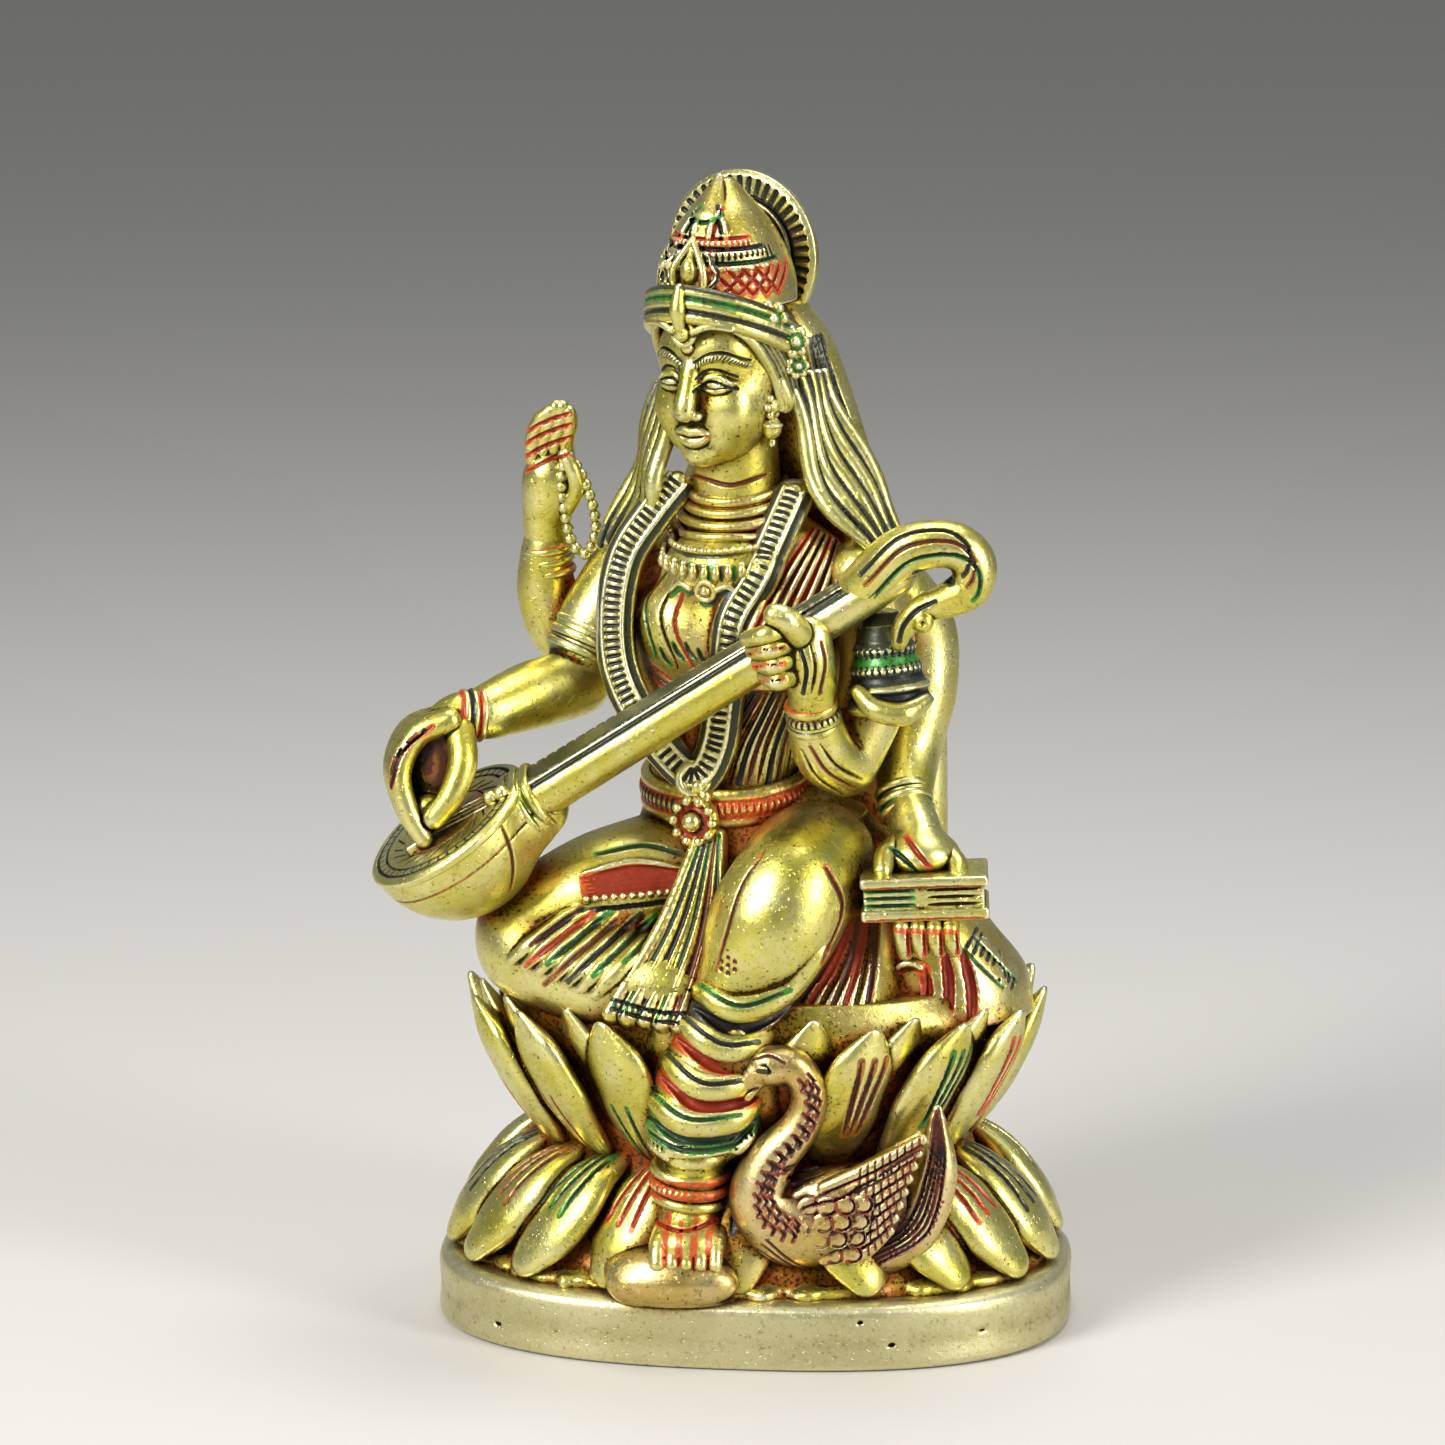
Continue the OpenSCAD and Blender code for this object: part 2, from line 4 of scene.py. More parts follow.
import bpy
import numpy as np
import openvdb
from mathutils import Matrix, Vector


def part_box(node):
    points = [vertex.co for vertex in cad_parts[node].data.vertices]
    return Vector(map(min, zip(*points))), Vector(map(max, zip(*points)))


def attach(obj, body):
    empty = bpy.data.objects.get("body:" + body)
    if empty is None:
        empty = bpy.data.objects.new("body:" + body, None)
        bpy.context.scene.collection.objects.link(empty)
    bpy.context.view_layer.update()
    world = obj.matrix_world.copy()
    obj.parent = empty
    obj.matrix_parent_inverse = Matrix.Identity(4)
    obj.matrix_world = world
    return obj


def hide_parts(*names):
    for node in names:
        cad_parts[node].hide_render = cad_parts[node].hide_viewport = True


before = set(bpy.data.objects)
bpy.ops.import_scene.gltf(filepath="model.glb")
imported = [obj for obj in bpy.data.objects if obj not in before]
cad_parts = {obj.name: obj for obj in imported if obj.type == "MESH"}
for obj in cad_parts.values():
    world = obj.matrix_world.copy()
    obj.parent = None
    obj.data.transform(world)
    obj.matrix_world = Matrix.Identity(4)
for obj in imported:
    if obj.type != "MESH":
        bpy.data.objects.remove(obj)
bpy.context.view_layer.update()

# Looks of the cast brass statuette. Every piece is modelled like wax: a grid of distances to its
# surface, in millimetres, that bars, blobs and shells are blended into and strokes are cut from.
# The finished grid becomes a mesh, and what was painted becomes numbers on its points.
# Places are in the frame of the CAD: x to the right, y inwards, z up, from the middle of the base.

MM = 0.001
FAR = 2.5
COARSE = 1.0
UP = np.array([0.0, 0.0, 1.0])


# ---- vectors ----

def vec(*v):
    return np.array(v[0] if len(v) == 1 else v, float)


def unit(v):
    v = vec(v)
    return v / np.linalg.norm(v)


def mix(a, b, t):
    return a + (b - a) * t


def bend(points, step=0.6, closed=False):
    """Points about a step apart on a smooth curve through the given points."""
    p = np.array(points, float)
    p = np.vstack([p[-1], p, p[:2]]) if closed else np.vstack([2 * p[0] - p[1], p, 2 * p[-1] - p[-2]])
    out = []
    for a, b, c, d in zip(p[:-3], p[1:-2], p[2:-1], p[3:]):
        t = np.linspace(0, 1, max(2, int(np.linalg.norm((c - b)[:3]) / step) + 1), endpoint=False)[:, None]
        out.append(0.5 * (2 * b + (c - a) * t + (2 * a - 5 * b + 4 * c - d) * t**2
                          + (3 * b - a - 3 * c + d) * t**3))
    if not closed:
        out.append(p[-2:-1])
    return np.vstack(out)


def walk(path):
    """The length of a path, and a function that gives the points at distances along it."""
    run = np.r_[0, np.cumsum(np.linalg.norm(np.diff(path, axis=0), axis=1))]

    def spot(s):
        return np.stack([np.interp(s, run, path[:, k]) for k in range(path.shape[1])], -1)
    return run[-1], spot


def even(points, n):
    """n points spread evenly along a smooth curve through the given points."""
    length, spot = walk(bend(points, 0.5))
    return spot(np.linspace(0, length, n))


def tapered(count, ends):
    """The width of a stroke from point to point: 1 in the middle, less at its ends."""
    t = np.linspace(0, 1, count)
    return mix(ends, 1.0, np.minimum(1, 4 * np.minimum(t, 1 - t)))


class Pose:
    """A place to model in: x to the side, y inwards, z up, about an origin."""

    def __init__(self, origin, turn=0.0, tip=0.0, roll=0.0, up=None, front=None):
        self.o = vec(origin)
        if up is not None:
            z = unit(up)
            y = -unit(vec(front) - z * (vec(front) @ z))
            self.m = np.array([np.cross(y, z), y, z])
            return
        a, b, c = (math.radians(v) for v in (turn, tip, roll))
        rz = np.array([[math.cos(a), math.sin(a), 0], [-math.sin(a), math.cos(a), 0], [0, 0, 1]])
        rx = np.array([[1, 0, 0], [0, math.cos(b), math.sin(b)], [0, -math.sin(b), math.cos(b)]])
        ry = np.array([[math.cos(c), 0, -math.sin(c)], [0, 1, 0], [math.sin(c), 0, math.cos(c)]])
        self.m = ry @ rx @ rz

    def __call__(self, *p):
        p = np.array(p[0] if len(p) == 1 else p, float)
        return p[..., :3] @ self.m + self.o

    def way(self, *v):
        return vec(*v) @ self.m


# ---- shapes: the box that holds each one, and its distance ----

def along(x, y, z, c, u):
    """Where points are from a centre, and how far they are along an axis through it."""
    dx, dy, dz = x - c[0], y - c[1], z - c[2]
    return dx, dy, dz, dx * u[0] + dy * u[1] + dz * u[2]


def from_axis(dx, dy, dz, t):
    return np.sqrt(np.maximum(dx * dx + dy * dy + dz * dz - t * t, 0))


def bar(a, b, ra, rb=None, side=None, flat=1.0):
    """A bar with domed ends, round or flattened across the way that side points."""
    a, b = vec(a), vec(b)
    rb = ra if rb is None else rb
    run = b - a
    length = max(np.linalg.norm(run), 1e-6)
    u = run / length
    r = max(ra, rb)
    lo, hi = np.minimum(a, b) - r, np.maximum(a, b) + r
    if flat == 1.0:
        def dist(x, y, z):
            dx, dy, dz, t = along(x, y, z, a, u)
            h = np.clip(t, 0, length)
            e = t - h
            sq = dx * dx + dy * dy + dz * dz - t * t + e * e
            return np.sqrt(np.maximum(sq, 0)) - (ra + (rb - ra) / length * h)
        return lo, hi, dist
    s = unit(vec(side) - u * (vec(side) @ u))
    n = np.cross(u, s)

    def dist(x, y, z):
        dx, dy, dz, t = along(x, y, z, a, u)
        h = np.clip(t, 0, length)
        e = t - h
        p = dx * s[0] + dy * s[1] + dz * s[2]
        q = (dx * n[0] + dy * n[1] + dz * n[2]) / flat
        rho = np.sqrt(p * p + q * q + e * e) + 1e-6
        slope = np.sqrt(p * p + (q / flat) ** 2 + e * e) / rho + 1e-6
        return (rho - (ra + (rb - ra) / length * h)) / slope
    return lo, hi, dist


def blob(at, radii, pose=None):
    """An ellipsoid."""
    c, r = vec(at), vec(radii)
    m = np.eye(3) if pose is None else pose.m
    half = np.sqrt(((m * r[:, None]) ** 2).sum(0))

    def dist(x, y, z):
        dx, dy, dz = x - c[0], y - c[1], z - c[2]
        k0, k1 = 1e-9, 1e-9
        for row, ri in zip(m, r):
            v = dx * row[0] + dy * row[1] + dz * row[2]
            k0 = k0 + (v / ri) ** 2
            k1 = k1 + (v / ri**2) ** 2
        k0 = np.sqrt(k0)
        return k0 * (k0 - 1) / np.sqrt(k1)
    return c - half, c + half, dist


def ball(at, r):
    return blob(at, (r, r, r))


def block(pose, half, edge=0.2):
    """A box with rounded edges."""
    h = vec(half) - edge
    reach = np.abs(pose.m.T) @ vec(half)

    def dist(x, y, z):
        dx, dy, dz = x - pose.o[0], y - pose.o[1], z - pose.o[2]
        q = [np.abs(dx * r[0] + dy * r[1] + dz * r[2]) - hk for r, hk in zip(pose.m, h)]
        out = np.sqrt(sum(np.maximum(v, 0) ** 2 for v in q))
        return out + np.minimum(np.maximum(np.maximum(q[0], q[1]), q[2]), 0) - edge
    return pose.o - reach, pose.o + reach, dist


def ring(at, axis, radius, wire, tall=1.0):
    """A hoop of wire, with its section stretched along its axis."""
    c, n = vec(at), unit(axis)
    reach = np.sqrt(1 - n**2) * radius + wire * max(1, tall)

    def dist(x, y, z):
        dx, dy, dz, t = along(x, y, z, c, n)
        rho = from_axis(dx, dy, dz, t) - radius
        return (np.sqrt(rho**2 + (t / tall) ** 2) - wire) * min(1, tall)
    return c - reach, c + reach, dist


def lathe(at, axis, outline, blunt=0.0):
    """A turned solid: its outline is a closed list of (radius, height) along the axis."""
    c, n = vec(at), unit(axis)
    poly = np.array(outline, float)
    ends = np.array([c + n * poly[:, 1].min(), c + n * poly[:, 1].max()])
    reach = np.sqrt(1 - n**2) * poly[:, 0].max()

    def dist(x, y, z):
        dx, dy, dz, t = along(x, y, z, c, n)
        rho = from_axis(dx, dy, dz, t)
        best = np.full(rho.shape, 1e9, np.float32)
        inside = np.zeros(rho.shape, bool)
        for (r0, h0), (r1, h1) in zip(poly, np.roll(poly, -1, 0)):
            er, eh = r1 - r0, h1 - h0
            k = np.clip(((rho - r0) * er + (t - h0) * eh) / (er * er + eh * eh + 1e-12), 0, 1)
            best = np.minimum(best, (rho - r0 - k * er) ** 2 + (t - h0 - k * eh) ** 2)
            crosses = (h0 > t) != (h1 > t)
            if abs(eh) > 1e-9:
                inside ^= crosses & (rho < r0 + er * (t - h0) / eh)
        return np.where(inside, -1, 1) * np.sqrt(best) - blunt
    return ends.min(0) - reach, ends.max(0) + reach, dist


def shell(levels, power=2.2):
    """A solid through level ovals, each (x, y, z, half width, half depth, turn)."""
    k = np.array(levels, float)
    k = k[np.argsort(k[:, 2])]
    fine = bend(k, 0.5)
    fine = fine[np.argsort(fine[:, 2])]
    reach = fine[:, 3:5].max(1)
    lo = np.array([(fine[:, 0] - reach).min(), (fine[:, 1] - reach).min(), k[0, 2]])
    hi = np.array([(fine[:, 0] + reach).max(), (fine[:, 1] + reach).max(), k[-1, 2]])

    def dist(x, y, z):
        col = [np.interp(z, fine[:, 2], fine[:, i]) for i in (0, 1, 3, 4, 5)]
        c, s = np.cos(np.radians(col[4])), np.sin(np.radians(col[4]))
        dx, dy = x - col[0], y - col[1]
        p, q = np.abs(dx * c + dy * s) + 1e-4, np.abs(dy * c - dx * s) + 1e-4
        rho = ((p / col[2]) ** power + (q / col[3]) ** power) ** (1 / power)
        slope = np.sqrt((p / col[2] ** 2) ** 2 + (q / col[3] ** 2) ** 2)
        wall = (rho - 1) * np.sqrt((p / col[2]) ** 2 + (q / col[3]) ** 2) / slope
        return np.maximum(wall, np.maximum(k[0, 2] - z, z - k[-1, 2]))
    return lo, hi, dist


# ---- the grid ----

def soft_min(a, b, k):
    if k <= 0:
        return np.minimum(a, b)
    h = np.maximum(k - np.abs(a - b), 0) / k
    return np.minimum(a, b) - h * h * k * 0.25


def box_mean(f, r):
    """The mean of a grid over cubes of half size r cells."""
    for axis in range(3):
        f = np.moveaxis(f, axis, 0)
        pad = np.concatenate([np.repeat(f[:1], r + 1, 0), f, np.repeat(f[-1:], r, 0)])
        total = np.cumsum(pad, 0, dtype=np.float64)
        f = ((total[2 * r + 1:] - total[:-(2 * r + 1)]) / (2 * r + 1)).astype(np.float32)
        f = np.moveaxis(f, 0, axis)
    return f


def read_grid(field, start, cell, p, miss=FAR):
    """Values of a grid at points, between its cells."""
    q = (p - start) / cell
    n = np.array(field.shape)
    ok = np.all((q >= 0) & (q <= n - 1.001), axis=1)
    q = np.clip(q, 0, n - 1.001)
    i = q.astype(int)
    t = q - i
    out = 0
    for dx in (0, 1):
        for dy in (0, 1):
            for dz in (0, 1):
                w = abs(1 - dx - t[:, 0]) * abs(1 - dy - t[:, 1]) * abs(1 - dz - t[:, 2])
                out = out + w * field[i[:, 0] + dx, i[:, 1] + dy, i[:, 2] + dz]
    return np.where(ok, out, miss)


class Clay:
    """One piece in wax. It stands for the CAD nodes given."""

    def __init__(self, *nodes, cell=0.22, pad=3.0, slot="polished_brass"):
        lo = np.min([vec(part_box(n)[0]) for n in nodes], 0) / MM - pad
        hi = np.max([vec(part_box(n)[1]) for n in nodes], 0) / MM + pad
        self.nodes, self.slot = nodes, slot
        self.cell = cell * COARSE
        self.start = lo
        self.count = np.ceil((hi - lo) / self.cell).astype(int) + 1
        self.field = np.full(self.count, FAR, np.float32)
        self.marks = []

    def window(self, lo, hi):
        i0 = np.clip(np.floor((lo - self.start) / self.cell).astype(int), 0, self.count)
        i1 = np.clip(np.ceil((hi - self.start) / self.cell).astype(int) + 1, 0, self.count)
        if np.any(i1 <= i0):
            return None, None
        x, y, z = (np.arange(a, b, dtype=np.float32) * self.cell + s
                   for a, b, s in zip(i0, i1, self.start))
        cut = tuple(slice(a, b) for a, b in zip(i0, i1))
        return cut, (x[:, None, None].astype(np.float32), y[None, :, None].astype(np.float32),
                     z[None, None, :].astype(np.float32))

    def put(self, shape, blend, band, sign):
        lo, hi, dist = shape
        reach = max(blend, band) + 2 * self.cell
        part, xyz = self.window(lo - reach, hi + reach)
        if part is not None:
            d = dist(*xyz).astype(np.float32)
            self.field[part] = sign * soft_min(sign * self.field[part], d, blend)
        return self

    def add(self, shape, blend=0.3, band=1.0):
        return self.put(shape, blend, band, 1)

    def cut(self, shape, blend=0.0):
        return self.put(shape, blend, 0, -1)

    def trim(self, at, way, blend=0.0):
        """Takes away all that lies past a plane, on the side that way points to."""
        way, at = unit(way), vec(at)
        cut, (x, y, z) = self.window(self.start, self.start + self.count * self.cell)
        d = (x - at[0]) * way[0] + (y - at[1]) * way[1] + (z - at[2]) * way[2]
        self.field = -soft_min(-self.field, -d.astype(np.float32), blend)
        return self

    def tube(self, path, r, blend=0.3, side=None, flat=1.0):
        """A bar along a path of points, with one radius or one at each end or point."""
        r = np.interp(np.linspace(0, 1, len(path)), np.linspace(0, 1, np.size(r)), np.atleast_1d(r))
        for a, b, ra, rb in zip(path[:-1], path[1:], r[:-1], r[1:]):
            self.add(bar(a, b, ra, rb, side, flat), blend)
        return self

    # surface work

    def value(self, p):
        return read_grid(self.field, self.start, self.cell, p)

    def normal(self, p):
        h = self.cell
        g = np.stack([self.value(p + d) - self.value(p - d) for d in np.eye(3) * h], -1)
        return g / (np.linalg.norm(g, axis=1, keepdims=True) + 1e-9)

    def settle(self, p, steps=6):
        """Moves points onto the nearest surface."""
        p = np.array(p, float)
        for _ in range(steps):
            p = p - self.normal(p) * np.clip(self.value(p), -0.8, 0.8)[:, None] * 0.9
        return p

    def drop(self, p, way, back=6.0, reach=12.0):
        """Moves points along a way until they meet the surface, and drops those that miss."""
        way = unit(way)
        p = np.array(p, float) - way * back
        left = np.full(len(p), back + reach)
        for _ in range(90):
            d = self.value(p)
            step = np.where((d > 0.02) & (left > 0), np.clip(d * 0.7, 0.05, 0.45), 0)
            p = p + way * step[:, None]
            left = left - step
        return p[left > 0]

    def paint(self, path, r, colour, much=1.0):
        self.marks.append((np.array(path, float), r, colour, much))
        return self

    def groove(self, path, width, deep=0.4, colour=None, much=1.0, spread=1.9, ends=0.5):
        """A cut along a path on the surface, finer towards its ends, with paint in it if asked."""
        if len(path) < 2:
            return self
        n, fine = self.normal(path), tapered(len(path), ends)
        r = width / 2 * fine
        lift = np.maximum(r - deep * fine, -deep)
        line = path + n * lift[:, None]
        for a, b, ra, rb in zip(line[:-1], line[1:], r[:-1], r[1:]):
            self.cut(bar(a, b, ra, rb), 0.12)
        if colour:
            bottom = path - n * (0.45 * deep * fine)[:, None]
            self.paint(bottom, math.hypot(width / 2, 0.8 * deep) * spread / 1.5, colour, much)
        return self

    def ridge(self, path, width, tall=0.4, colour=None, blend=0.15, ends=0.5):
        """A raised line along a path on the surface."""
        if len(path) < 2:
            return self
        n, fine = self.normal(path), tapered(len(path), ends)
        r = width / 2 * fine
        line = path + n * (tall * fine - r)[:, None]
        for a, b, ra, rb in zip(line[:-1], line[1:], r[:-1], r[1:]):
            self.add(bar(a, b, ra, rb), blend, 0.3)
        if colour:
            self.paint(path, width / 2, colour)
        return self

    def beads(self, path, r, gap=2.1, sink=0.3, colour=None):
        """A row of round beads along a path on the surface."""
        length, spot = walk(path)
        at = spot(np.linspace(0, length, max(2, int(length / (gap * r)))))
        for p in at + self.normal(at) * r * (1 - 2 * sink):
            self.add(ball(p, r), 0.08, 0.3)
        if colour:
            self.paint(path, r * 1.6, colour)
        return self

    def ribs(self, path, width, gap, deep=0.25, line=0.3, colour=None, lean=0.0):
        """Short cuts across a path, as on a ribbed band."""
        length, spot = walk(path)
        count = max(2, int(length / gap))
        s = (np.arange(count) + 0.5) * length / count
        at = spot(s)
        ahead = spot(s + 0.2) - at
        n = self.normal(at)
        across = np.cross(n, ahead)
        across /= np.linalg.norm(across, axis=1, keepdims=True) + 1e-9
        forward = ahead / (np.linalg.norm(ahead, axis=1, keepdims=True) + 1e-9)
        soak = math.hypot(line / 2, 0.8 * deep) * 1.3
        for p, q, w, m in zip(at, across, forward, n):
            e = (q + w * lean) * width / 2
            middle = p + m * (line / 2 - deep)
            self.cut(bar(middle - e, middle + e, line / 2), 0.05)
            if colour:
                self.paint(np.array([p - e, p + e]) - m * deep * 0.5, soak, colour)
        return self


def stroke_amount(p, path, r):
    """How near points are to a stroke: 1 on it, fading to 0 at its edge."""
    near = np.full(len(p), 1e9)
    for a, b in zip(path[:-1], path[1:]):
        ab = b - a
        t = np.clip(((p - a) @ ab) / (ab @ ab + 1e-12), 0, 1)
        near = np.minimum(near, ((p - a - t[:, None] * ab) ** 2).sum(1))
    return np.clip(2.2 - 2.2 * np.sqrt(near) / r, 0, 1)


PAINTS = ("red", "green", "dark", "amber", "brown")


# ---- where things are ----

BODY_TURN, HEAD_TURN = -20, -26
CAMERA_TURN, CAMERA_HEIGHT = 6.0, 12.0
VIEW = vec(-math.sin(math.radians(CAMERA_TURN)) * math.cos(math.radians(CAMERA_HEIGHT)),
           math.cos(math.radians(CAMERA_TURN)) * math.cos(math.radians(CAMERA_HEIGHT)),
           -math.sin(math.radians(CAMERA_HEIGHT)))


PLINTH_HIGH = vec(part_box("plinth")[1]) / MM
PLINTH_TOP, PLINTH_HALF = PLINTH_HIGH[2], PLINTH_HIGH[:2]
HEAD = Pose((-4, -2.5, 130.5), HEAD_TURN, 3)
CHEST = Pose((-3, -3, 95), BODY_TURN)
WAIST = Pose((-4, -2.5, 75), BODY_TURN)

RIGHT_SHOULDER, RIGHT_ELBOW, RIGHT_WRIST = vec(-18, 4, 103.5), vec(-24.5, 0, 88), vec(-36, -13, 86)
REAR_ELBOW, REAR_WRIST = vec(-27.5, 8, 94), vec(-29.7, 6.5, 106.5)
LEFT_SHOULDER, LEFT_ELBOW, LEFT_WRIST = vec(15, -6, 105), vec(13, -11, 80), vec(9.3, -18.5, 89)
LEFT_PALM = vec(7.5, -21.5, 98)
LEFT_REAR_WRIST = vec(21, -7.5, 74)
LEFT_REAR_PALM, BOOK = vec(24.5, -13, 69), vec(24, -17, 63.8)

BOARD_AT = vec(-40.2, -16.5, 71.2)
NECK_WAY = unit((56.2, -2, 36.5))
BOARD_UP = vec(-0.53, -0.25, 0.81)
BOARD_UP = unit(BOARD_UP - NECK_WAY * (BOARD_UP @ NECK_WAY))
LUTE_SIDE = np.cross(BOARD_UP, NECK_WAY)
LUTE = Pose(BOARD_AT, up=BOARD_UP, front=-LUTE_SIDE)


def look(clay, points, depth, step=0.6, back=8, reach=16):
    """Lands a drawn line of (x, z) points, as seen from the front at a depth, on a piece."""
    flat = bend([(x, depth, z) for x, z in points], step)
    return clay.drop(flat, VIEW, back, reach)


def oval(t, a, b, power=2.5):
    """A point on the rounded outline of the base, t in degrees."""
    c, s = math.cos(math.radians(t)), math.sin(math.radians(t))
    return vec(a * math.copysign(abs(c) ** (2 / power), c), b * math.copysign(abs(s) ** (2 / power), s), 0)


# ---- base ----

def plinth():
    c = Clay("plinth", cell=0.3, pad=1.2, slot="plinth_brass")
    a, b = PLINTH_HALF
    c.add(shell([(0, 0, 0, a - 0.9, b - 0.9, 0), (0, 0, 0.7, a - 0.1, b - 0.1, 0),
                 (0, 0, 4, a - 0.25, b - 0.25, 0), (0, 0, 7.8, a - 0.1, b - 0.1, 0),
                 (0, 0, 9, a - 0.9, b - 0.9, 0), (0, 0, PLINTH_TOP, a - 2.2, b - 2.2, 0)], 2.5), 0)
    rim = np.array([oval(t, a - 0.5, b - 0.5) + UP * 8.6 for t in range(0, 361, 3)])
    rng = np.random.default_rng(3)
    for at in rim[rng.integers(0, len(rim), 14)]:
        c.cut(blob(at + vec(0, 0, rng.uniform(-6, 0.8)), (0.5, 0.6, rng.uniform(0.1, 0.25))), 0.4)
    return [c]


WAIST_A, WAIST_B = 30.5, 20.0


def lotus_core():
    c = Clay("lotus_core", cell=0.36, pad=3.5)
    a, b = WAIST_A, WAIST_B
    c.add(shell([(0, 0, PLINTH_TOP - 1, a + 10, b + 7.4, 0), (0, 0, 12, a + 8.4, b + 6.2, 0),
                 (0, 0, 18, a + 3, b + 2.5, 0), (0, 0, 25, a - 0.5, b - 0.5, 0),
                 (0, 0, 31, a + 0.5, b + 1, 0), (0, 0, 39, a + 3, b + 3, 0),
                 (0, 0, 45, a + 4, b + 4, 0), (-1, 0, 49, a + 2, b + 3, 0)], 2.4), 0)
    rng = np.random.default_rng(8)
    for _ in range(90):
        at = oval(rng.uniform(180, 360), a + 9.5, b + 7) * rng.uniform(0.93, 1.0) + UP * (PLINTH_TOP + 0.5)
        c.add(blob(at, rng.uniform(0.8, 2.2, 3) * (1, 1, 0.6)), 1.2)
    return [c]


def fanned(angle, pull):
    """Draws an angle round the lotus towards its front or its back, so the petals fan out from there."""
    centre = 270 if 180 <= angle % 360 <= 360 else 90
    off = angle % 360 - centre
    return centre + off * mix(pull, 1, abs(off / 90) ** 3)


def petal(c, angle, stations, widths, thick=0.42, pull=0.8):
    """One leaf-shaped petal, fanned out. Stations are (across, deep, up); it ends wide or pointed."""
    pulls = np.linspace(pull, 1, len(stations))
    path = bend([oval(fanned(angle, k), s[0], s[1]) + UP * s[2] for s, k in zip(stations, pulls)], 1.2)
    t = np.linspace(0, 1, len(path))
    r = np.interp(t, np.linspace(0, 1, len(widths)), widths)
    out = oval(angle, *stations[1][:2])
    side = np.cross(path[-1] - path[0], out)
    side = unit(side)
    for p, q, rp, rq in zip(path[:-1], path[1:], r[:-1], r[1:]):
        c.add(bar(p, q, rp, rq, side, thick), 0.2)
    return path, side


def petal_lines(c, path, side, colour=None, deep=0.5, reach=(0.05, 0.6), spots=(-0.28, 0, 0.28), width=0.6):
    """Engraved lines that run up a petal from its root."""
    out = np.cross(side, path[-1] - path[0])
    out = unit(out if out @ path[0] > 0 else -out)
    n = len(path)
    part = path[int(n * reach[0]):max(int(n * reach[1]), 3)]
    for s in spots:
        line = part + side * (s * np.linspace(4.5, 9, len(part))[:, None]) + out * 3
        c.groove(c.drop(line, -out, 0, 7), width, deep, colour, ends=0.3)


LOWER = [(WAIST_A - 1.5, WAIST_B - 1.5, 26), (WAIST_A + 3, WAIST_B + 2.4, 22.5),
         (WAIST_A + 7.4, WAIST_B + 5, 17), (WAIST_A + 10.4, WAIST_B + 7, 12.6)]
UPPER = [(WAIST_A - 2.5, WAIST_B - 2, 25), (WAIST_A + 1, WAIST_B + 1.6, 30.5),
         (WAIST_A + 5, WAIST_B + 4.6, 38), (WAIST_A + 8.8, WAIST_B + 6.8, 45.4)]
UPPER_COUNT, LOWER_COUNT = 16, 18


def lower_petals():
    c = Clay("lotus_lower_petals", cell=0.27, pad=3)
    for i in range(LOWER_COUNT):
        angle = 360 * (i + 0.5) / LOWER_COUNT
        path, side = petal(c, angle, LOWER, (1.8, 3.4, 5.0, 4.9, 3.0), 0.5, 0.72)
        front = 180 < angle < 360
        colour = ("red", "dark", "amber", "green")[i % 4] if front else None
        petal_lines(c, path, side, colour, 0.5, (0.08, 0.72), (-0.2, 0.05, 0.3), 0.55)
    return [c]


def upper_petals():
    c = Clay("lotus_upper_petals", cell=0.26, pad=3.5)
    behind = [(x - 1.9, y - 1.9, z + 1.2) for x, y, z in UPPER]
    for i in range(UPPER_COUNT):
        petal(c, 360 * (i + 0.5) / UPPER_COUNT, behind, (1.4, 3.6, 5.0, 4.4, 1.2))
    for i in range(UPPER_COUNT):
        angle = 360 * i / UPPER_COUNT
        path, side = petal(c, angle, UPPER, (1.8, 4.0, 5.6, 5.2, 1.6))
        colour = ("red", "amber", "green")[i % 3] if 180 < angle < 360 else None
        if angle > 285:
            petal_lines(c, path, side, colour, 0.6, (0.4, 0.95), (-0.2, 0.02, 0.24), 0.8)
        else:
            petal_lines(c, path, side, colour, 0.4, (0.1, 0.6), (-0.16, 0.14), 0.5)
    return [c]


# ---- drawing on the wax ----

LAP = 6.3  # a full turn in radians, and a little more, so that a painted circle closes


def between(a, b, count, first=0.0, last=1.0, n=20):
    """Lines spread evenly from one guide line to another."""
    a, b = even(a, n), even(b, n)
    return [mix(a, b, t) for t in np.linspace(first, last, count)]


def engrave(c, lines, depth, width=0.45, deep=0.4, colours=(None,), back=8):
    """Cuts a set of drawn lines into a piece, with the colours taken in turn."""
    for i, line in enumerate(lines):
        c.groove(look(c, line, depth, 0.6, back, 2 * back), width, deep, colours[i % len(colours)])


def wavy(line, swing, waves, phase=0.0):
    """A line made to sway from side to side."""
    t = np.linspace(0, 1, len(line))[:, None]
    return line + np.sin((t * waves + phase) * 2 * math.pi) * vec(swing)


def around(pose, a, b, z=0.0, start=0, stop=360, step=6, lift=0.0):
    """Points on an oval about a pose's upright axis, from the front through its right side."""
    t = np.radians(np.arange(start, stop + step / 2, step))
    up = z + lift * (1 - np.cos(t)) / 2
    return pose(np.stack([a * np.sin(t), -b * np.cos(t), up + 0 * t], -1))


def loop(at, way, r, front=(0, -1, 0)):
    """Points on a circle round a limb that runs the given way."""
    return around(Pose(at, up=way, front=front), r, r)


def circle(place, r, n, y=0.0):
    """Points on an upright circle, placed by a function of x, y and z."""
    return np.array([place(r * math.cos(a), y, r * math.sin(a)) for a in np.linspace(0, LAP, n)])


# ---- legs and cloth ----

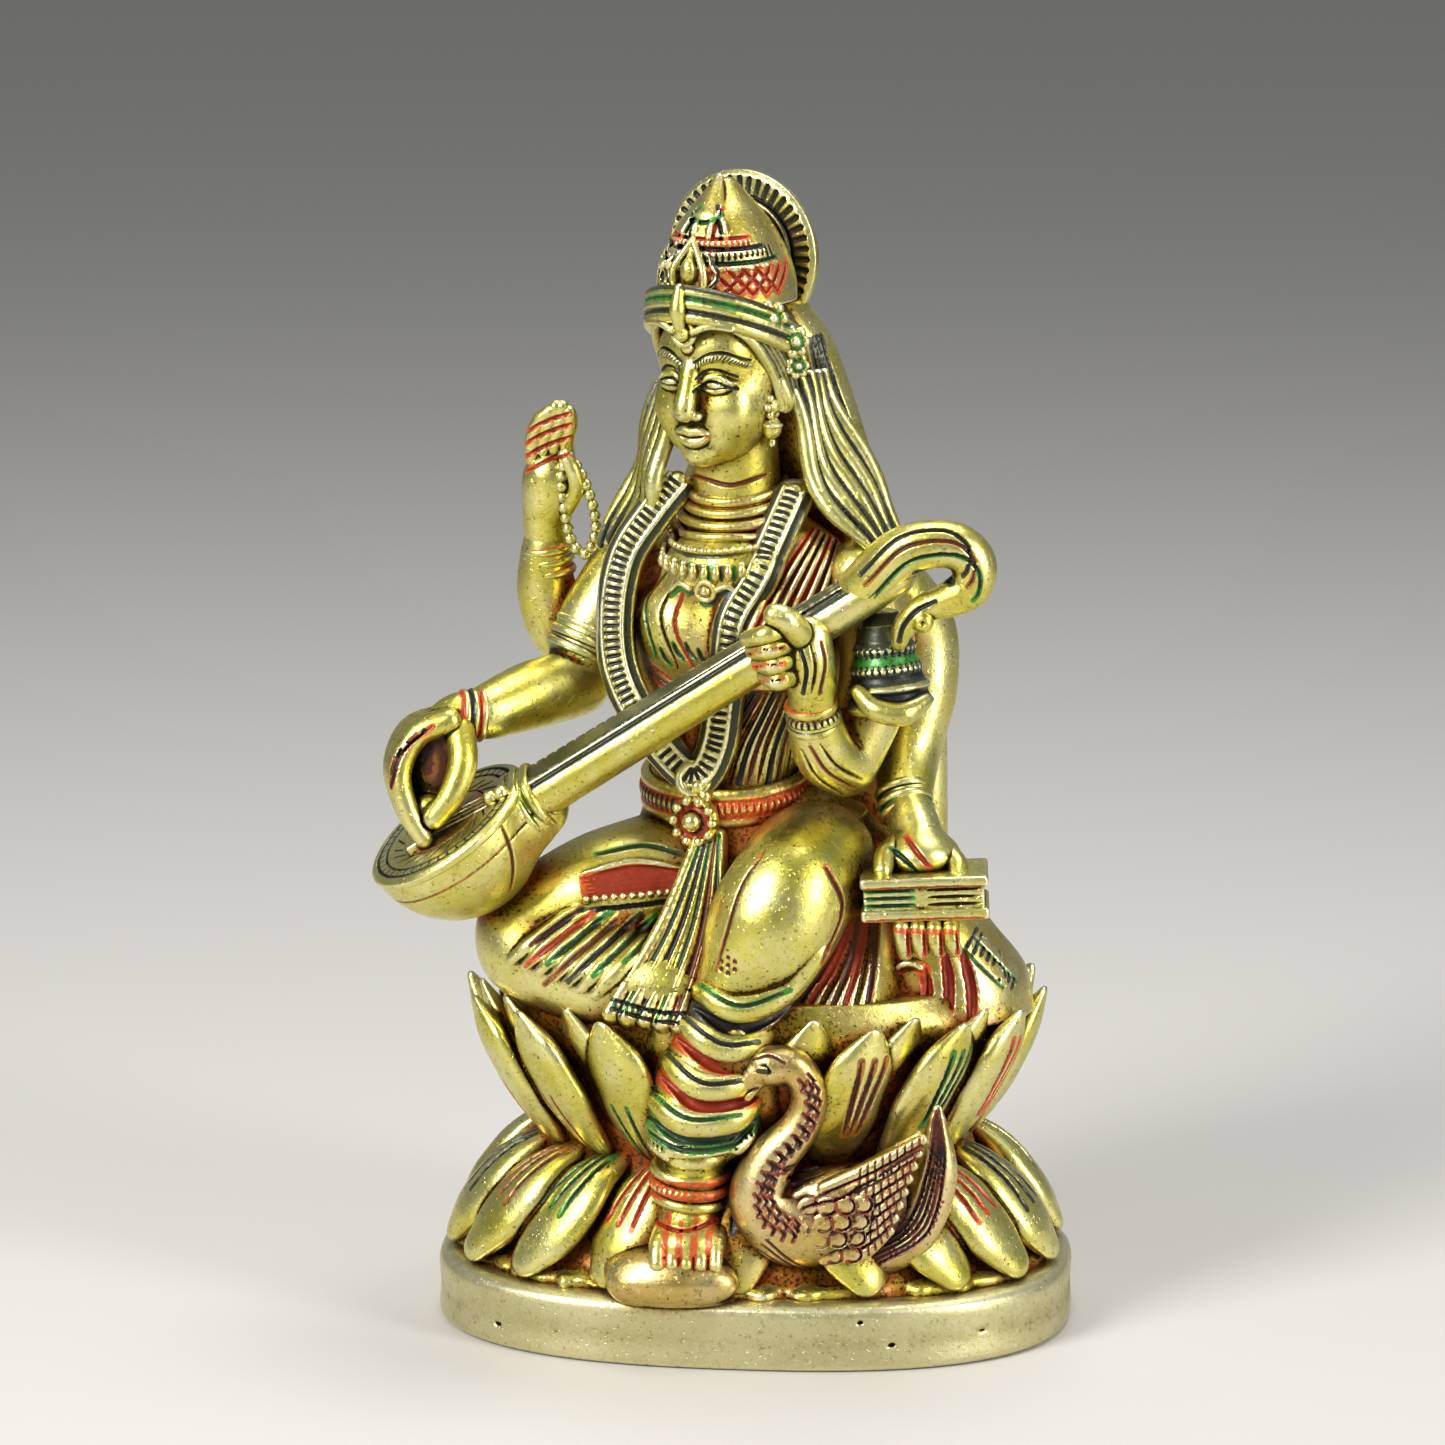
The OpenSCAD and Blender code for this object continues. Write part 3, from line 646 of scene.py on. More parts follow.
def skirt():
    clay = Clay("skirt", cell=0.28, pad=5.5)
    clay.add(shell([(-4, -2, 77, 10.4, 8, -20), (-3.5, -2, 72, 12, 9, -20), (-2, -1, 66, 15.5, 11, -15),
                     (0, 0, 58, 20, 13, -8), (0, 0.5, 50, 25, 15, 0), (0, 0.5, 45, 26, 16, 0)]))
    clay.add(bar((8, -4, 68), (16, -7, 64), 7.5, 6), 3)
    clay.add(shell([(11, -8, 45, 12, 15, 0), (12, -8, 52, 9.5, 12.6, 0), (12.6, -7, 60, 7.4, 10.6, 0),
                     (13, -6, 67, 5, 8.6, 0), (12, -5, 72, 3, 6, 0)]), 2)
    drape = between([(14.6, 70), (12.6, 58), (5, 47)], [(19, 68), (18.6, 56), (17.4, 46.4)], 7, 0.1, 0.95)
    engrave(clay, drape, -20, 1.0, 0.8, ("amber", "red", None))
    return [clay]


def right_leg():
    right = Clay("right_leg", cell=0.24, pad=3.5)
    right.tube(bend([(-8, -3, 62), (-20, -8, 59.6), (-31, -11, 55.8)], 1.5), (9.4, 8.6, 6.2), 1.5)
    right.tube(bend([(-31, -12, 53), (-20, -17, 50.8), (-8, -19, 50)], 1.5), (5.4, 5.4, 4.8), 2.5)
    panel_top = [(-8.5, 66), (-15, 66.8), (-22, 65)]
    panel_low = [(-8, 63), (-14, 62.2), (-21.5, 61.5)]
    for line in between(panel_top, panel_low, 5, 0.2, 0.85):
        right.groove(look(right, line, -16), 0.9, 0.7, "red", ends=0.3)
    right.groove(look(right, [(-9, 67.5), (-14, 68.6), (-20.5, 67.2)], -14), 0.6, 0.4, "green")
    right.ridge(look(right, panel_top, -16), 0.8, 0.4)
    right.beads(look(right, panel_low, -16), 0.5, 2.2)
    right.groove(look(right, [(-8.5, 61.8), (-14, 61), (-22.5, 60)], -17), 0.5, 0.5, "dark")
    folds = between([(-8.5, 60), (-14, 54.5), (-20, 47.8)],
                    [(-22.5, 61), (-28, 57), (-33, 53)], 7, 0.08, 0.95)
    reaches = (11, 15, 18, 20, 16, 18, 13)
    tints = ("green", "green", "dark", "amber", "green", "red", "brown")
    for line in folds:
        right.ridge(look(right, line[2:] + 0.9, -20), 1.9, 0.55, blend=0.6, ends=0.2)
    for line, reach, tint in zip(folds, reaches, tints):
        right.groove(look(right, line[:reach], -20), 0.9, 0.5, tint, 0.85, spread=1.45, ends=0.15)
    return [right]


def left_leg():
    left = Clay("left_leg", cell=0.22, pad=6)
    left.tube(bend([(9, -4, 64), (8.5, -12, 65), (7, -18, 64.5)], 1.5), (8.5, 8.2, 7.4), 2)
    left.tube(bend([(1.8, -20, 55), (5, -20, 61), (7, -18.6, 65.2)], 1.2), (6.8, 7.9, 6.9), 2)
    left.tube(bend([(2.4, -21, 55), (-2, -22.5, 46), (-4.2, -23.2, 38.5), (-4.6, -23.4, 32.5)], 1.2),
              (6.9, 5.6, 6.4, 7.9), 1.2, (1, 0, 0), 0.85)
    left.trim((-4, -24, 30), (0.14, 0.1, -1), 0.5)
    left.tube([(-5.6, -23.2, 34), (-6.6, -23.6, 20)], (4.8, 4.5), 0.4)
    wraps = [[(-4.9, 51), (0.5, 48.4), (7.2, 50.6), (12.6, 56.8)],
             [(-7.2, 46.6), (-2, 43.2), (3, 43.4), (6, 45.4)],
             [(-9.4, 41.4), (-4.6, 37.8), (1.4, 38.2), (4.6, 40)],
             [(-11.6, 36), (-6.4, 32.8), (0.6, 33.4), (4, 36.4)]]
    for line in wraps:
        left.ridge(look(left, [(x, z + 2.1) for x, z in line], -32), 3.4, 0.75, None, 0.8)
    tints = [("dark", "green"), ("red", "dark"), ("red", "dark"), ("green", "green")]
    for line, (tint, second) in zip(wraps, tints):
        left.groove(look(left, line, -34), 1.7, 1.1, tint, ends=0.25)
        left.groove(look(left, [(x + 0.8, z + 3.2) for x, z in line[:3]], -34), 0.5, 0.4, second, ends=0.2)
    hem = look(left, [(-12, 32.4), (-7, 29.8), (-1, 30.3), (3.2, 33.4)], -34)
    left.ridge(hem, 2.4, 0.5, None, 0.4)
    left.ribs(hem, 2.0, 0.8, 0.25, 0.36, "dark")
    left.groove(look(left, [(-12.2, 34.2), (-7, 31.5), (-1, 31.9), (3.2, 35)], -34), 0.9, 0.7, "green")
    left.groove(look(left, [(-2.6, 55), (0.6, 66), (4, 71.5)], -28), 0.5, 0.4, "amber", 0.7, ends=0.1)
    for k in range(7):
        turn = math.radians(60 * k)
        far = 0 if k == 6 else 1.05
        spot = look(left, [(-0.6 + far * math.sin(turn), 56.6 + far * math.cos(turn))] * 2, -32)
        if len(spot):
            left.cut(ball(spot[0], 0.32), 0.1)
            left.paint(spot[:2], 0.5, "amber")
    engrave(left, [[(11.8, 68.5), (14, 63), (11.4, 55.6)]], -24, 0.8, 0.6, ("amber",))
    return [left]


def left_foot():
    foot = Clay("left_foot", cell=0.2, pad=3.5)
    foot.tube([(-6.6, -23.4, 21.5), (-6.6, -24.4, 18)], (4.5, 4.7))
    foot.add(blob((-6.4, -26.6, 16.8), (5.4, 5, 3.5)), 1.5)
    for i, r in enumerate((1.0, 1.05, 1.1, 1.15, 1.35)):
        x = -2.4 - 1.95 * i
        foot.tube(bend([(x + 0.3, -26, 18.6), (x, -29.4, 17), (x, -30.9, 15)], 1), (r, r, r * 0.9), 0.15)
        if i:
            gap = bend([(x + 1.1, -27, 20), (x + 1, -30, 18), (x + 1, -32, 15.2)], 0.6)
            foot.groove(foot.drop(gap, (0, 0.6, -0.8), 1, 6), 0.5, 0.7, "red")
    engrave(foot, [[(-11.5, 20.6), (-7, 19.4), (-2.2, 20.8)]], -30, 0.6, 0.5, ("red",))
    return [foot]


def foot_rest():
    rest = Clay("foot_rest", cell=0.25, pad=7, slot="swan_brass")
    rest.add(shell([(-8, -25.4, 9, 9.4, 5.4, 0), (-8.4, -25.4, 12, 8.8, 5, 0), (-8.6, -25, 14.6, 7, 4, 0),
                    (-8.6, -25, 15.6, 4, 2.5, 0)], 2.4))
    rest.add(blob((-13.4, -24.6, 15.4), (3.2, 3, 2.8)), 1.5)
    rest.add(blob((-9, -30, 11.8), (7.4, 2.6, 2.6)), 1.5)
    rest.add(blob((-8.6, -26.8, 12.6), (9.4, 5.4, 4.3)), 0.6)
    rest.add(blob((-13, -28.4, 11.6), (4.6, 3.2, 3.4)), 0.5)
    rest.add(blob((-4.6, -29, 12), (5.2, 3.2, 3)), 0.5)
    return [rest]


def anklets():
    rings = Clay("anklets", cell=0.2, pad=5)
    for z, r in ((26.2, 5.1), (24.4, 5.3), (22.6, 5.0)):
        rings.add(ring((-6.5, -23.6, z), (0.1, -0.12, 1), r - 0.35, 0.8, 1.0), 0.2)
    for z in (25.3, 23.5):
        front = [(5.6 * math.sin(a), -5.6 * math.cos(a), 0.1 * math.sin(a))
                 for a in np.arange(-1.7, 1.8, 0.15)]
        rings.paint(Pose((-6.5, -23.6, z))(front), 0.8, "red")
    rings.ribs(around(Pose((-6.5, -23.6, 24.4)), 5.6, 5.6, 0, -90, 90), 1.2, 0.9, 0.25, 0.3, "red")
    return [rings]


def front_pleats():
    pleats = Clay("front_pleats", cell=0.2, pad=5.5, slot="tinted_brass")
    edge_a = [(-6.2, -12.5, 70), (-10.4, -19.4, 59), (-17, -24.4, 47.6)]
    edge_b = [(-3.6, -12.8, 70), (-3.4, -19.6, 58), (-5.4, -25, 46)]
    count = 6
    for i, line in enumerate(between(edge_a, edge_b, count)):
        pleats.tube(line, (0.9, 1.3 + 0.15 * (i % 2)), 0.15, (0.94, -0.34, 0), 1.5)
    for i, line in enumerate(between(edge_a, edge_b, count - 1, 0.5 / count, 1 - 0.5 / count)):
        tint = ("green", "dark", "green", "amber")[i % 4]
        pleats.groove(pleats.drop(line, VIEW, 5, 9), 0.8, 0.45, tint, 0.9, spread=1.2)
    end_a, end_b = vec(edge_a[-1]), vec(edge_b[-1])
    for up in (0.9, 2.2, 5.4):
        hem = even([end_a + UP * up, mix(end_a, end_b, 0.5) + UP * (up - 0.6), end_b + UP * up], 24)
        pleats.groove(pleats.drop(hem, VIEW, 5, 9), 0.4, 0.4, "dark")
    fringe = even([end_a + UP * 1.5, end_b + UP * 1.5], 30)
    pleats.ribs(pleats.drop(fringe, VIEW, 5, 9), 1.2, 0.9, 0.3, 0.3, "green")
    return [pleats]


def seat_drape():
    seat = Clay("seat_drape", cell=0.26, pad=5, slot="tinted_brass")
    seat.add(shell([(25, -3, 44.5, 13.6, 13, 0), (25, -3, 50, 12.4, 12, 0), (24, -4, 55, 9.8, 10, 0),
                    (23, -4.5, 59, 7.6, 7.6, 0), (22.5, -4, 62, 4, 4, 0)]))
    for x0, x1, z0, z1 in ((16.8, 18.4, 57, 46.5), (20.2, 19.4, 53, 46.5), (24.4, 24.4, 53, 46.5),
                           (27.4, 27.4, 55, 45), (30, 31, 55, 45.5)):
        line = look(seat, [(x0, z0), (mix(x0, x1, 0.5) + 0.5, mix(z0, z1, 0.5)), (x1, z1)], -17)
        seat.groove(line, 1.5, 1.0, "red", ends=0.6)
    arch = [(20.3, 47.2), (20, 51.4), (21.8, 53.7), (24.3, 52.8), (24.2, 47.3)]
    seat.ridge(look(seat, arch, -17), 1.0, 0.6)
    for k in range(2):
        edge = [(29 + 2 * k, 55.6 + 1.4 * k), (35 + 2 * k, 50 + 0.8 * k)]
        seat.groove(look(seat, edge, -14), 0.4, 0.3, "green")
    seat.ribs(look(seat, [(30.3, 57), (33.6, 54), (37, 50.6)], -14), 4.4, 1.1, 0.35, 0.35, "dark")
    engrave(seat, between([(15, 66), (14.6, 56), (17, 46)], [(17.5, 64), (17.4, 55), (19, 46)], 3), -14,
            0.9, 0.8, ("red", "amber"))
    return [seat]


def belt():
    clay = Clay("belt", cell=0.2, pad=4, slot="tinted_brass")
    for z, r in ((72.2, 1.0), (73.9, 1.3), (75.6, 1.0)):
        clay.tube(around(WAIST, 11.3, 9.1, z - 75 - 0.6, lift=3.4), r, 0.1, UP, 0.7)
    for z in (73.05, 74.75):
        clay.paint(around(WAIST, 12, 9.8, z - 75.6, -110, 110, lift=3.4), 0.7, "red")
    for a, b, tint in ((14, 110, "red"), (-110, -14, "dark")):
        clay.ribs(clay.settle(around(WAIST, 12.2, 10, -1.7, a, b, lift=3.4)), 1.7, 1.0, 0.3, 0.32, tint)
    return [clay]


def belt_buckle():
    buckle = Clay("belt_buckle", cell=0.14, pad=2, slot="tinted_brass")
    hub, out = vec(-6.6, -12.8, 72), unit(CHEST.way(-0.1, -1, 0.05))
    disc = [(0, 0), (3.4, 0), (3.5, 0.9), (2.9, 1.5), (2.3, 1.1), (1.9, 1.1), (0, 2.2)]
    buckle.add(lathe(hub, out, disc), 0.1)
    for k in range(10):
        a = math.radians(36 * k)
        at = hub + CHEST.way(2.9 * math.cos(a), 0, 2.9 * math.sin(a)) + out * 1.4
        buckle.add(ball(at, 0.72), 0.1)
    buckle.add(ball(hub + out * 1.7, 1.35), 0.1)
    buckle.paint(circle(CHEST.way, 2.1, 24) + hub + out * 1.2, 0.55, "red")
    for x, z in ((-1.1, 3.4), (1.1, 3.4), (0, 4.6)):
        buckle.add(blob(hub + CHEST.way(x, -0.2, z), (0.9, 0.9, 1.1)), 0.15)
    return [buckle]


# ---- chest ----

def chest():
    torso = Clay("torso", cell=0.22, pad=5)
    torso.add(shell([(-4.2, -2.5, 73, 10.6, 8, -20), (-3.9, -2.6, 79, 10.3, 7.6, -20),
                     (-3.7, -2.6, 86, 11.8, 7.8, -20), (-3.6, -2.4, 93, 13.6, 8.2, -20),
                     (-2.8, -1.6, 99.5, 14.8, 7.6, -20), (-2, -0.6, 104, 15, 6.6, -20),
                     (-1.8, -0.2, 107.5, 13.4, 5.6, -20), (-2.2, -0.4, 110.6, 9.4, 5.4, -20),
                     (-2.6, -0.6, 114, 6, 5.2, -20)]))
    for side in (-1, 1):
        torso.add(blob(CHEST(side * 5.6, -5.6, 2.4), (5.8, 3.9, 5.6), CHEST), 3)
    torso.add(ball(RIGHT_SHOULDER, 4.8), 2).add(blob(LEFT_SHOULDER, (5, 5, 4.6)), 2)
    torso.add(blob(CHEST(0, -5.2, -12.5), (6, 3.4, 5)), 2)
    torso.add(blob(CHEST(0, -3.4, 9.5), (8.5, 5.6, 6.5), CHEST), 2.5)
    torso.add(blob(CHEST(0, -6.4, 1), (4, 3, 5.5), CHEST), 2.5)
    engrave(torso, between([(-10.5, 107), (-13.5, 102), (-12, 95)], [(-8.4, 104), (-9.4, 99), (-6, 92)], 3),
            -16, 0.4, 0.3, ("green", None, "red"))
    for k in range(5):
        x, z = -11.4 + 1.7 * k, 97.4 - 0.8 * abs(k - 1.5)
        hook = [(x, z), (x + 0.5, z - 1.2), (x + 1.4, z - 2.2)]
        torso.groove(look(torso, hook, -16), 0.5, 0.35, "green")
    ribs = between([(-12.6, 94), (-7.5, 90.5), (-2, 91.4)], [(-12, 91.6), (-7.5, 87.6), (-2.5, 87)], 3)
    engrave(torso, ribs, -16, 0.42, 0.35, ("red", "amber"))
    weave = between([(1, 90), (-3, 83), (-5, 77.5)], [(8.8, 90), (6.5, 83), (5.6, 77.6)], 9)
    engrave(torso, weave, -14, 0.6, 0.5, ("dark", "amber", None))
    waist = between([(-14, 84.5), (-9, 80.4), (-4, 77.4)], [(-14.6, 81), (-10, 77.6), (-6, 76.6)], 3)
    engrave(torso, waist, -14, 0.5, 0.4, ("amber", "dark"))

    sash = Clay("shoulder_sash", cell=0.2, pad=5, slot="tinted_brass")
    sash.add(shell([(-3.4, -3.2, 87, 12.2, 8.2, -20), (-3.2, -3.1, 93, 14.2, 9.2, -20),
                    (-2.3, -2.1, 99.5, 15.6, 8.6, -20), (-1.6, -1.1, 104, 16, 7.6, -20),
                    (-1.4, -0.6, 108.2, 14.4, 6.4, -20), (-1.4, -0.6, 111.4, 10, 5, -20),
                    (-1.4, -0.4, 113, 6, 4, -20)]))
    sash.add(blob(CHEST(5.7, -6.2, 2.4), (6.1, 4.1, 5.8), CHEST), 3)
    sash.trim((0.4, -14, 99.5), unit((-0.9, 0, 0.42)), 0.3)
    sash.trim((0, -4, 90), (0, 0, -1), 0.3)
    fan = [(8.6, 113), (3, 104), (-1, 95)], [(17.4, 109.5), (18, 103), (15.5, 96)]
    engrave(sash, between(*fan, 11, 0.06, 0.97), -14, 0.75, 0.6, ("red", "amber", None, "red", "amber"))
    for line in between(*fan, 10, 0.1, 0.93):
        sash.ridge(look(sash, line, -14), 0.7, 0.35)

    garland = Clay("garland", "pendant", cell=0.17, pad=4, slot="dark_brass")
    way = bend([(-10.4, -3.4, 117), (-13.6, -5, 113), (-17.4, -6, 107), (-18.8, -7, 99), (-17.8, -8.6, 91),
                (-13.4, -10.8, 83.6), (-7.4, -12, 78), (-4.4, -12.4, 82), (-3, -12.6, 91), (-1.2, -12.4, 100),
                (2.4, -9.6, 108.4), (5.6, -5.4, 116)], 0.54)
    inside = np.clip(0.2 - torso.value(way), 0, 1.5)
    way = way + torso.normal(way) * inside[:, None]
    ahead = np.gradient(way, axis=0)
    normal = -VIEW + vec(-0.25, 0, 0)
    flank = np.cross(normal, ahead)
    flank /= np.linalg.norm(flank, axis=1, keepdims=True)
    normal = np.cross(ahead, flank)
    normal /= np.linalg.norm(normal, axis=1, keepdims=True)
    for a, b, across in zip(way[:-1], way[1:], flank[:-1]):
        garland.add(bar(a + normal[0] * 0.4, b + normal[0] * 0.4, 1.2, 1.2, across, 0.6), 0.1)
    for off in (-1.35, 1.35):
        garland.tube(way + flank * off + normal * 0.6, 0.36, 0.05)
    for i in range(1, len(way), 2):
        rung = vec([way[i] + flank[i] * off + normal[i] * 1.0 for off in (-0.8, 0.8)])
        garland.cut(bar(rung[0], rung[1], 0.27), 0.05).paint(rung - normal[i] * 0.3, 0.48, "dark")
    drop = way[int(len(way) * 0.53)]
    garland.add(ring(drop + vec(-0.3, -0.6, -0.3), -VIEW, 2.0, 0.55), 0.1)

    neck = Clay("neck", cell=0.2, pad=4)
    neck.tube(bend([(-2.6, -0.4, 109), (-2.6, -1, 115), (-3, -2, 124)], 1), (6.8, 5.9, 5.7), 0.4)
    engrave(neck, [[(-7.6, 119), (-2.6, 117.6), (2.4, 119.2)]], -10, 0.6, 0.35, ("amber",))

    choker = Clay("choker_rings", cell=0.14, pad=3.5, slot="tinted_brass")
    for k, (z, a) in enumerate(((115.6, 6.3), (114, 6.7), (112.4, 7.4))):
        hoop = around(Pose((-2.6, -0.9, z - 1), BODY_TURN), a, a, 0, lift=3)
        choker.tube(hoop, 0.72, 0.05)
        choker.paint(hoop - UP * 0.85, 0.7, ("red", "dark", "red")[k])

    collar = Clay("collar", cell=0.14, pad=3.5, slot="tinted_brass")
    base = Pose((-2.6, -0.7, 111), BODY_TURN)
    for z, a, b, r, tint in ((-1.0, 8.2, 8.8, 0.55, "red"), (-2.6, 9, 10.4, 0.45, "dark")):
        hoop = torso.settle(around(base, a, b, z, -118, 118, lift=3.4))
        collar.tube(hoop + torso.normal(hoop) * 0.35, r, 0.05)
        torso.paint(hoop - UP * 0.7, 0.6, tint)
        if tint == "dark":
            collar.beads(hoop + torso.normal(hoop) * 0.4, 0.48, 2.1)
    drops = torso.settle(around(base, 9.4, 11.4, -5.4, -66, 66, 10, lift=3.4))
    for i, p in enumerate(drops):
        out = torso.normal(p[None])[0]
        collar.add(blob(p + out * 0.35, (0.62, 0.62, 1.0)), 0.1)
        collar.add(ball(p + out * 0.3 + UP * 1.1, 0.42), 0.1)
        torso.paint(np.array([p + vec(0.8, 0, 1), p + vec(0.8, 0, -0.8)]), 0.45, ("dark", "green")[i % 2])
    jewel = torso.settle(CHEST(vec([(0.5, -12, 8.4)])))[0]
    out = torso.normal(jewel[None])[0]
    collar.add(ring(jewel + out * 0.3, out, 1.25, 0.42), 0.05).add(ball(jewel + out * 0.4, 0.8), 0.1)
    halo_line = [jewel + vec(1.9 * math.sin(a), 0, 1.9 * math.cos(a)) for a in np.linspace(0, LAP, 16)]
    torso.paint(halo_line, 0.5, "green")
    for side in (-1, 1):
        curl = [(side * 2.2, -12, 8.6), (side * 4.2, -11.6, 9.4), (side * 5.8, -11, 8.4)]
        scroll = torso.settle(CHEST(bend(curl, 0.4)))
        collar.tube(scroll + torso.normal(scroll) * 0.2, (0.5, 0.3), 0.05)
        torso.paint(scroll - UP * 0.8, 0.45, "green")

    hem = way - normal * 0.9
    for a, b, across in zip(hem[:-1], hem[1:], flank[:-1]):
        torso.add(bar(a, b, 2.3, 2.3, across, 0.35), 0.8)
    for off in (-1.85, 1.85):
        torso.paint(way + flank * off - normal * 0.1, 0.8, "dark")
    return [torso, sash, garland, neck, choker, collar]


# ---- head ----

EYE_LINES = ([(1.1, -11, 0.95), (2.2, -11, 1.95), (3.6, -11, 2.05), (5.3, -10, 1.1)],
             [(1.2, -11, 0.75), (2.6, -11, 0.2), (3.8, -11, 0.25), (5, -10, 0.8)],
             [(0.9, -11, 3.3), (2.6, -11, 4.4), (4.4, -10, 4.5), (6.3, -9, 3.3)])


def head():
    c = Clay("head", cell=0.15, pad=2.5)
    size = vec(1.14, 1.04, 1.08)

    def put(at, radii, blend=1.2):
        c.add(blob(HEAD(vec(at) * size), vec(radii) * size, HEAD), blend)

    put((0, 0.9, 2.6), (7.9, 8.4, 9))
    put((0, -2.2, -1.6), (6.9, 6.4, 8.4), 1.5)
    put((0, -4.4, 4.6), (6, 4.5, 5.4), 1.5)
    put((0, -3.6, -4.6), (5.5, 4.7, 5.0), 1.8)
    put((0, -6.5, -8.1), (2.1, 1.9, 1.7))
    for side in (-1, 1):
        put((side * 3.7, -5.3, -2.4), (2.7, 2.7, 3.2), 1.5)
        c.cut(blob(HEAD(vec(side * 3.1, -9.9, 1.5) * size), (2.8, 1.7, 1.5), HEAD), 1.1)
        put((side * 3.05, -6.75, 1.05), (2.0, 1.75, 1.15), 0.25)
        put((side * 7.2, 0.6, -0.4), (1.0, 1.7, 2.6), 0.3)
    c.tube(HEAD(bend([(0, -8.1, 3.4), (0, -9.1, 0.6), (0, -10.2, -2.2)], 0.6) * size), (0.85, 0.9, 1.15), 0.9)
    put((0, -10.15, -2.5), (1.05, 1.0, 0.9), 0.4)
    for side in (-1, 1):
        put((side * 1.1, -9.1, -2.8), (0.75, 0.9, 0.65), 0.35)
        c.cut(blob(HEAD(vec(side * 0.6, -9.9, -3.55) * size), (0.35, 0.4, 0.25), HEAD), 0.1)
    c.cut(blob(HEAD(vec(0, -9.9, -4.2) * size), (0.4, 0.6, 0.7), HEAD), 0.3)

    def line(points):
        return c.drop(HEAD(bend(points, 0.3) * size), HEAD.way(0, 1, 0), 1.5, 5)

    upper = [(-2, -9.5, -5.25), (-0.9, -10, -4.8), (0, -10, -5), (0.9, -10, -4.8), (2, -9.5, -5.25)]
    lower = [(-1.7, -9.5, -5.75), (-0.8, -10, -6.2), (0.8, -10, -6.2), (1.7, -9.5, -5.75)]
    for lip, r in ((upper, 0.6), (lower, 0.72)):
        c.tube(line(lip) + HEAD.way(0, -0.02, 0), (r * 0.55, r, r * 0.55), 0.35)
    mouth = [(-2.3, -11, -5.35), (-1, -11, -5.5), (0, -11, -5.62), (1, -11, -5.5), (2.3, -11, -5.35)]
    c.groove(line(mouth), 0.3, 0.3, "amber")
    for side in (-1, 1):
        lid, under, brow = ([(side * x, y, z) for x, y, z in points] for points in EYE_LINES)
        c.ridge(line(lid), 0.65, 0.36)
        c.ridge(line(under), 0.45, 0.2)
        c.groove(line([(x, y, z - 0.55) for x, y, z in lid]), 0.34, 0.4, "dark", spread=1.5)
        c.groove(line([(x, y, z + 0.9) for x, y, z in lid]), 0.34, 0.3, "dark", 0.8, spread=1.3)
        c.ridge(line(brow), 0.85, 0.4)
        c.groove(line([(x, y, z + 0.6) for x, y, z in brow]), 0.34, 0.3, "dark", 0.9, spread=1.4)
        c.ribs(line(brow), 0.7, 0.5, 0.15, 0.18, "dark", 0.5)
        gaze = [(side * 1.6, -11, 0.75), (side * 3.1, -11, 0.55), (side * 4.6, -11, 0.8)]
        c.groove(line(gaze), 0.26, 0.25, "dark", spread=1.4)
    put((0, -9.05, 5.7), (0.75, 0.45, 0.75), 0.1)
    return [c]


def hair():
    clay = Clay("hair", cell=0.2, pad=4, slot="dark_brass")
    clay.add(blob(HEAD(0, 2.8, 3), (9.6, 8.8, 10), HEAD))
    clay.cut(blob(HEAD(0, -7, -1), (8.4, 8.2, 12.4), HEAD), 0.5)
    for side in (-1, 1):
        for k in range(5):
            a = 0.75 * k
            run = HEAD(bend([(side * (3.6 + 0.7 * k), -9.2 + 0.5 * k, 10.4 - 0.2 * k),
                             (side * (7.3 + 0.3 * a), -5.6 + a, 7.4), (side * (8.5 + 0.25 * a), -2 + a, 2.4),
                             (side * (8.7 + 0.2 * a), 0.2 + a, -3)], 0.8))
            clay.tube(run, (0.5, 0.75, 0.7), 0.05)
            clay.paint(run + HEAD.way(side * 0.5, 0.5, 0), 0.5, "dark")
    return [clay]


def hair_locks():
    locks = Clay("hair_locks", cell=0.18, pad=5, slot="dark_brass")
    right_in = [(4.6, -4.4, 131), (6.6, -5, 124), (8.8, -6.4, 118), (12, -8.4, 112.6), (17, -9.6, 107.8)]
    right_out = [(8.4, -0.4, 134), (11, -0.4, 127), (14.4, -1.6, 120), (18, -3.6, 114), (21.8, -5.6, 108.6)]
    left_in = [(-12.4, -4, 129), (-12, -4.4, 122), (-13, -5.4, 117), (-15.6, -4.6, 110.6)]
    left_out = [(-13.8, 1.5, 129), (-15, 0.5, 121), (-18, 0, 114.6), (-20.8, -1.6, 107.6)]
    for inner, outer, sway in ((right_in, right_out, 0.5), (left_in, left_out, 0.7)):
        for i, run in enumerate(between(inner, outer, 9)):
            run = wavy(run, (sway, 0, 0.3), 1.4, 0.06 * i)
            if i % 2 == 0:
                locks.tube(run, (0.8, 1.2, 1.2, 0.5), 0.03)
            else:
                locks.tube(run + vec(0, 1.3, 0), (0.6, 0.9, 0.9, 0.4), 0.03).paint(run, 1.15, "dark")
    return [locks]


